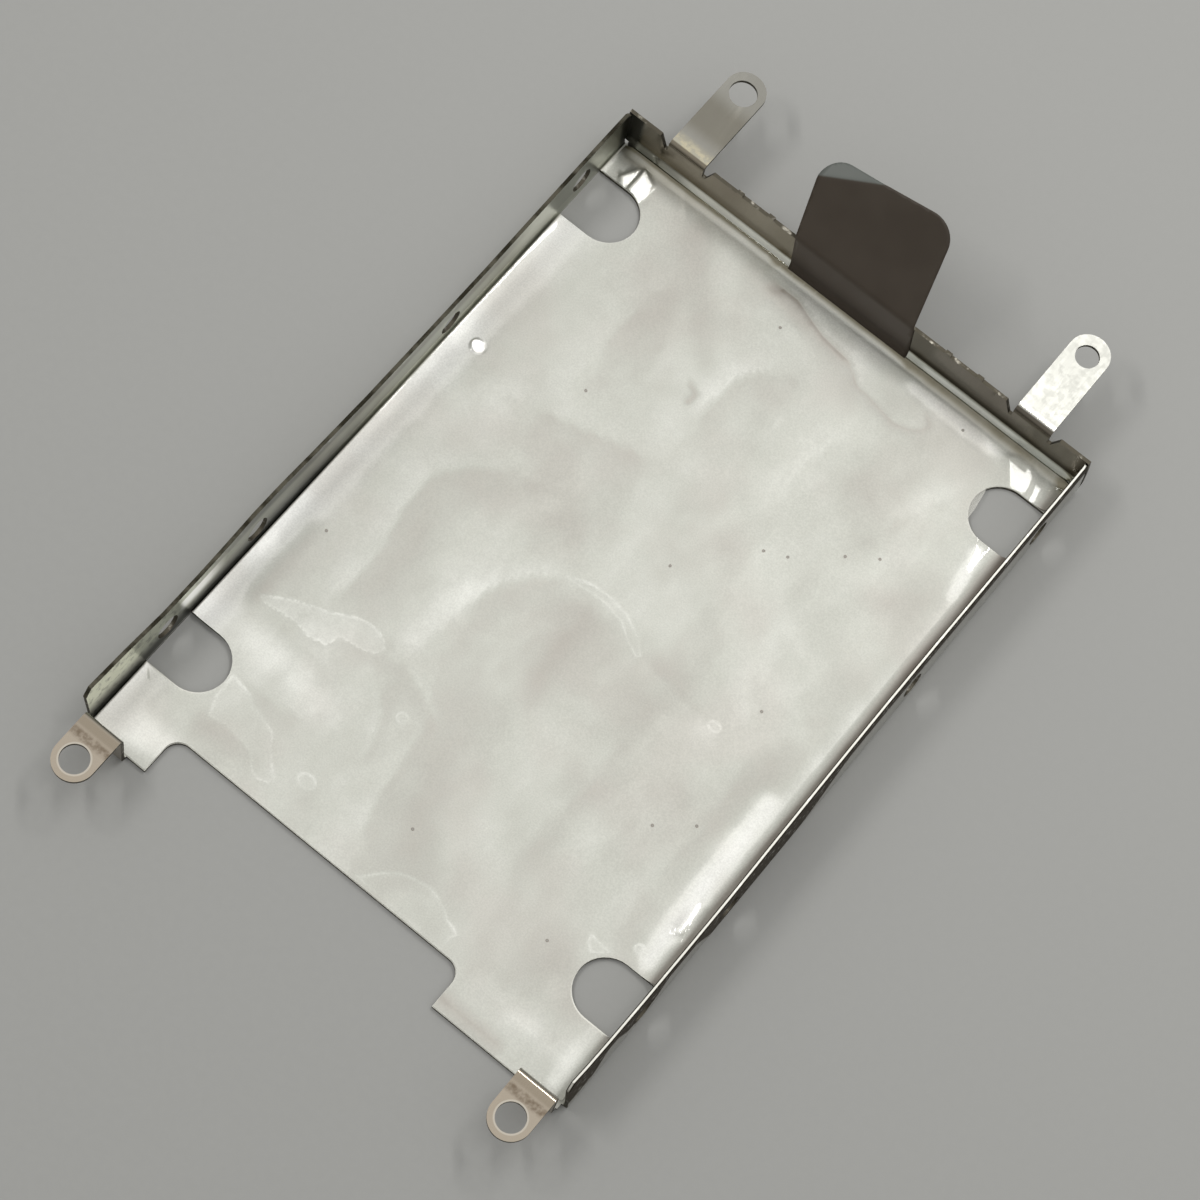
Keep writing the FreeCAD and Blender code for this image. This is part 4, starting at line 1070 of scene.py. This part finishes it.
BENCH_NEAR_SHADED = (0.360, 0.361, 0.353)
BENCH_FAR_LIT = (0.417, 0.418, 0.409)
BENCH_SPECKLE = (0.50, 0.50, 0.49)
BENCH_HALF = 1500.0
bench, tree, surface = new_material("bench_top")
place = in_millimetres()
speckle = patches(place, 0.9, 2.0)
sweep = step("VectorMath", {0: place, 1: (0.35, 0.94, 0.0)}, operation="DOT_PRODUCT").outputs["Value"]
# The bench is painted paler towards the far side, a painted fall-off of the lamps' light
colour = blend(ramp(sweep, -100.0, 120.0), BENCH_NEAR_SHADED, BENCH_FAR_LIT)
colour = blend(ramp(speckle, 0.3, 0.7, 0.0, 0.04), colour, BENCH_SPECKLE)
tree.links.new(colour, surface.inputs["Base Color"])
surface.inputs["Roughness"].default_value = 0.65
surface.inputs["Specular IOR Level"].default_value = 0.2
bench_mesh = bpy.data.meshes.new("bench_top")
bench_corners = [(right * BENCH_HALF * MM, far * BENCH_HALF * MM, 0.0)
                 for right, far in ((-1, -1), (1, -1), (1, 1), (-1, 1))]
bench_mesh.from_pydata(bench_corners, [], [(0, 1, 2, 3)])
bench_mesh.materials.append(bench)
bench_top = bpy.data.objects.new("bench_top", bench_mesh)
bpy.context.scene.collection.objects.link(bench_top)

# Lamps on the left and beyond the end wall: name, where each hangs, the light it gives the bench
LAMPS = [("left_lamp", (-280.0, -102.0, 418.0), 0.16), ("far_lamp", (55.0, 202.0, 418.0), 0.19)]
LAMP_COLOUR = (1.0, 0.99, 0.96)
TUBE_ACROSS = 30.0
TUBE_ALONG = 250.0
TUBE_WAY = Vector((-0.65, 0.75, 0.0))
for name, spot, given in LAMPS:
    hung = Vector(spot) * MM
    towards = hung.normalized()
    tube_way = (TUBE_WAY - towards * TUBE_WAY.dot(towards)).normalized()
    lamp_data = bpy.data.lights.new(name, "AREA")
    lamp_data.shape = "RECTANGLE"
    lamp_data.size = TUBE_ACROSS * MM
    lamp_data.size_y = TUBE_ALONG * MM
    lamp_data.energy = given * math.pi ** 2 * hung.length ** 2 / towards.z
    lamp_data.color = LAMP_COLOUR
    lamp = bpy.data.objects.new(name, lamp_data)
    bpy.context.scene.collection.objects.link(lamp)
    turned_down = Matrix((tube_way.cross(towards), tube_way, towards)).transposed().to_4x4()
    lamp.matrix_world = Matrix.Translation(hung) @ turned_down

ROOM_LOW = (0.28, 0.27, 0.25)
ROOM_HIGH = (0.68, 0.68, 0.665)
room = bpy.data.worlds.new("room")
room.use_nodes = True
tree = room.node_tree
way = step("TexCoord", {}).outputs["Generated"]
height = step("SeparateXYZ", {0: way}).outputs["Z"]
room_shade = blend(ramp(height, 0.10, 0.75), ROOM_LOW, ROOM_HIGH)
tree.links.new(room_shade, tree.nodes["Background"].inputs["Color"])
bpy.context.scene.world = room

CAMERA_PLACE = Vector((58.374, -143.147, 405.701))
CAMERA_RIGHT = Vector((0.77628648, 0.62086392, 0.10912052))
CAMERA_UP = Vector((-0.61602215, 0.71041804, 0.34032767))
camera_data = bpy.data.cameras.new("camera")
camera_data.lens = 110.2
camera_data.sensor_width = 36.0
camera_data.clip_start = 10.0 * MM
camera = bpy.data.objects.new("camera", camera_data)
bpy.context.scene.collection.objects.link(camera)
camera_turn = Matrix((CAMERA_RIGHT, CAMERA_UP, CAMERA_RIGHT.cross(CAMERA_UP))).transposed().to_4x4()
camera.matrix_world = Matrix.Translation(CAMERA_PLACE * MM) @ camera_turn
bpy.context.scene.camera = camera
bpy.context.scene.view_settings.view_transform = "Standard"
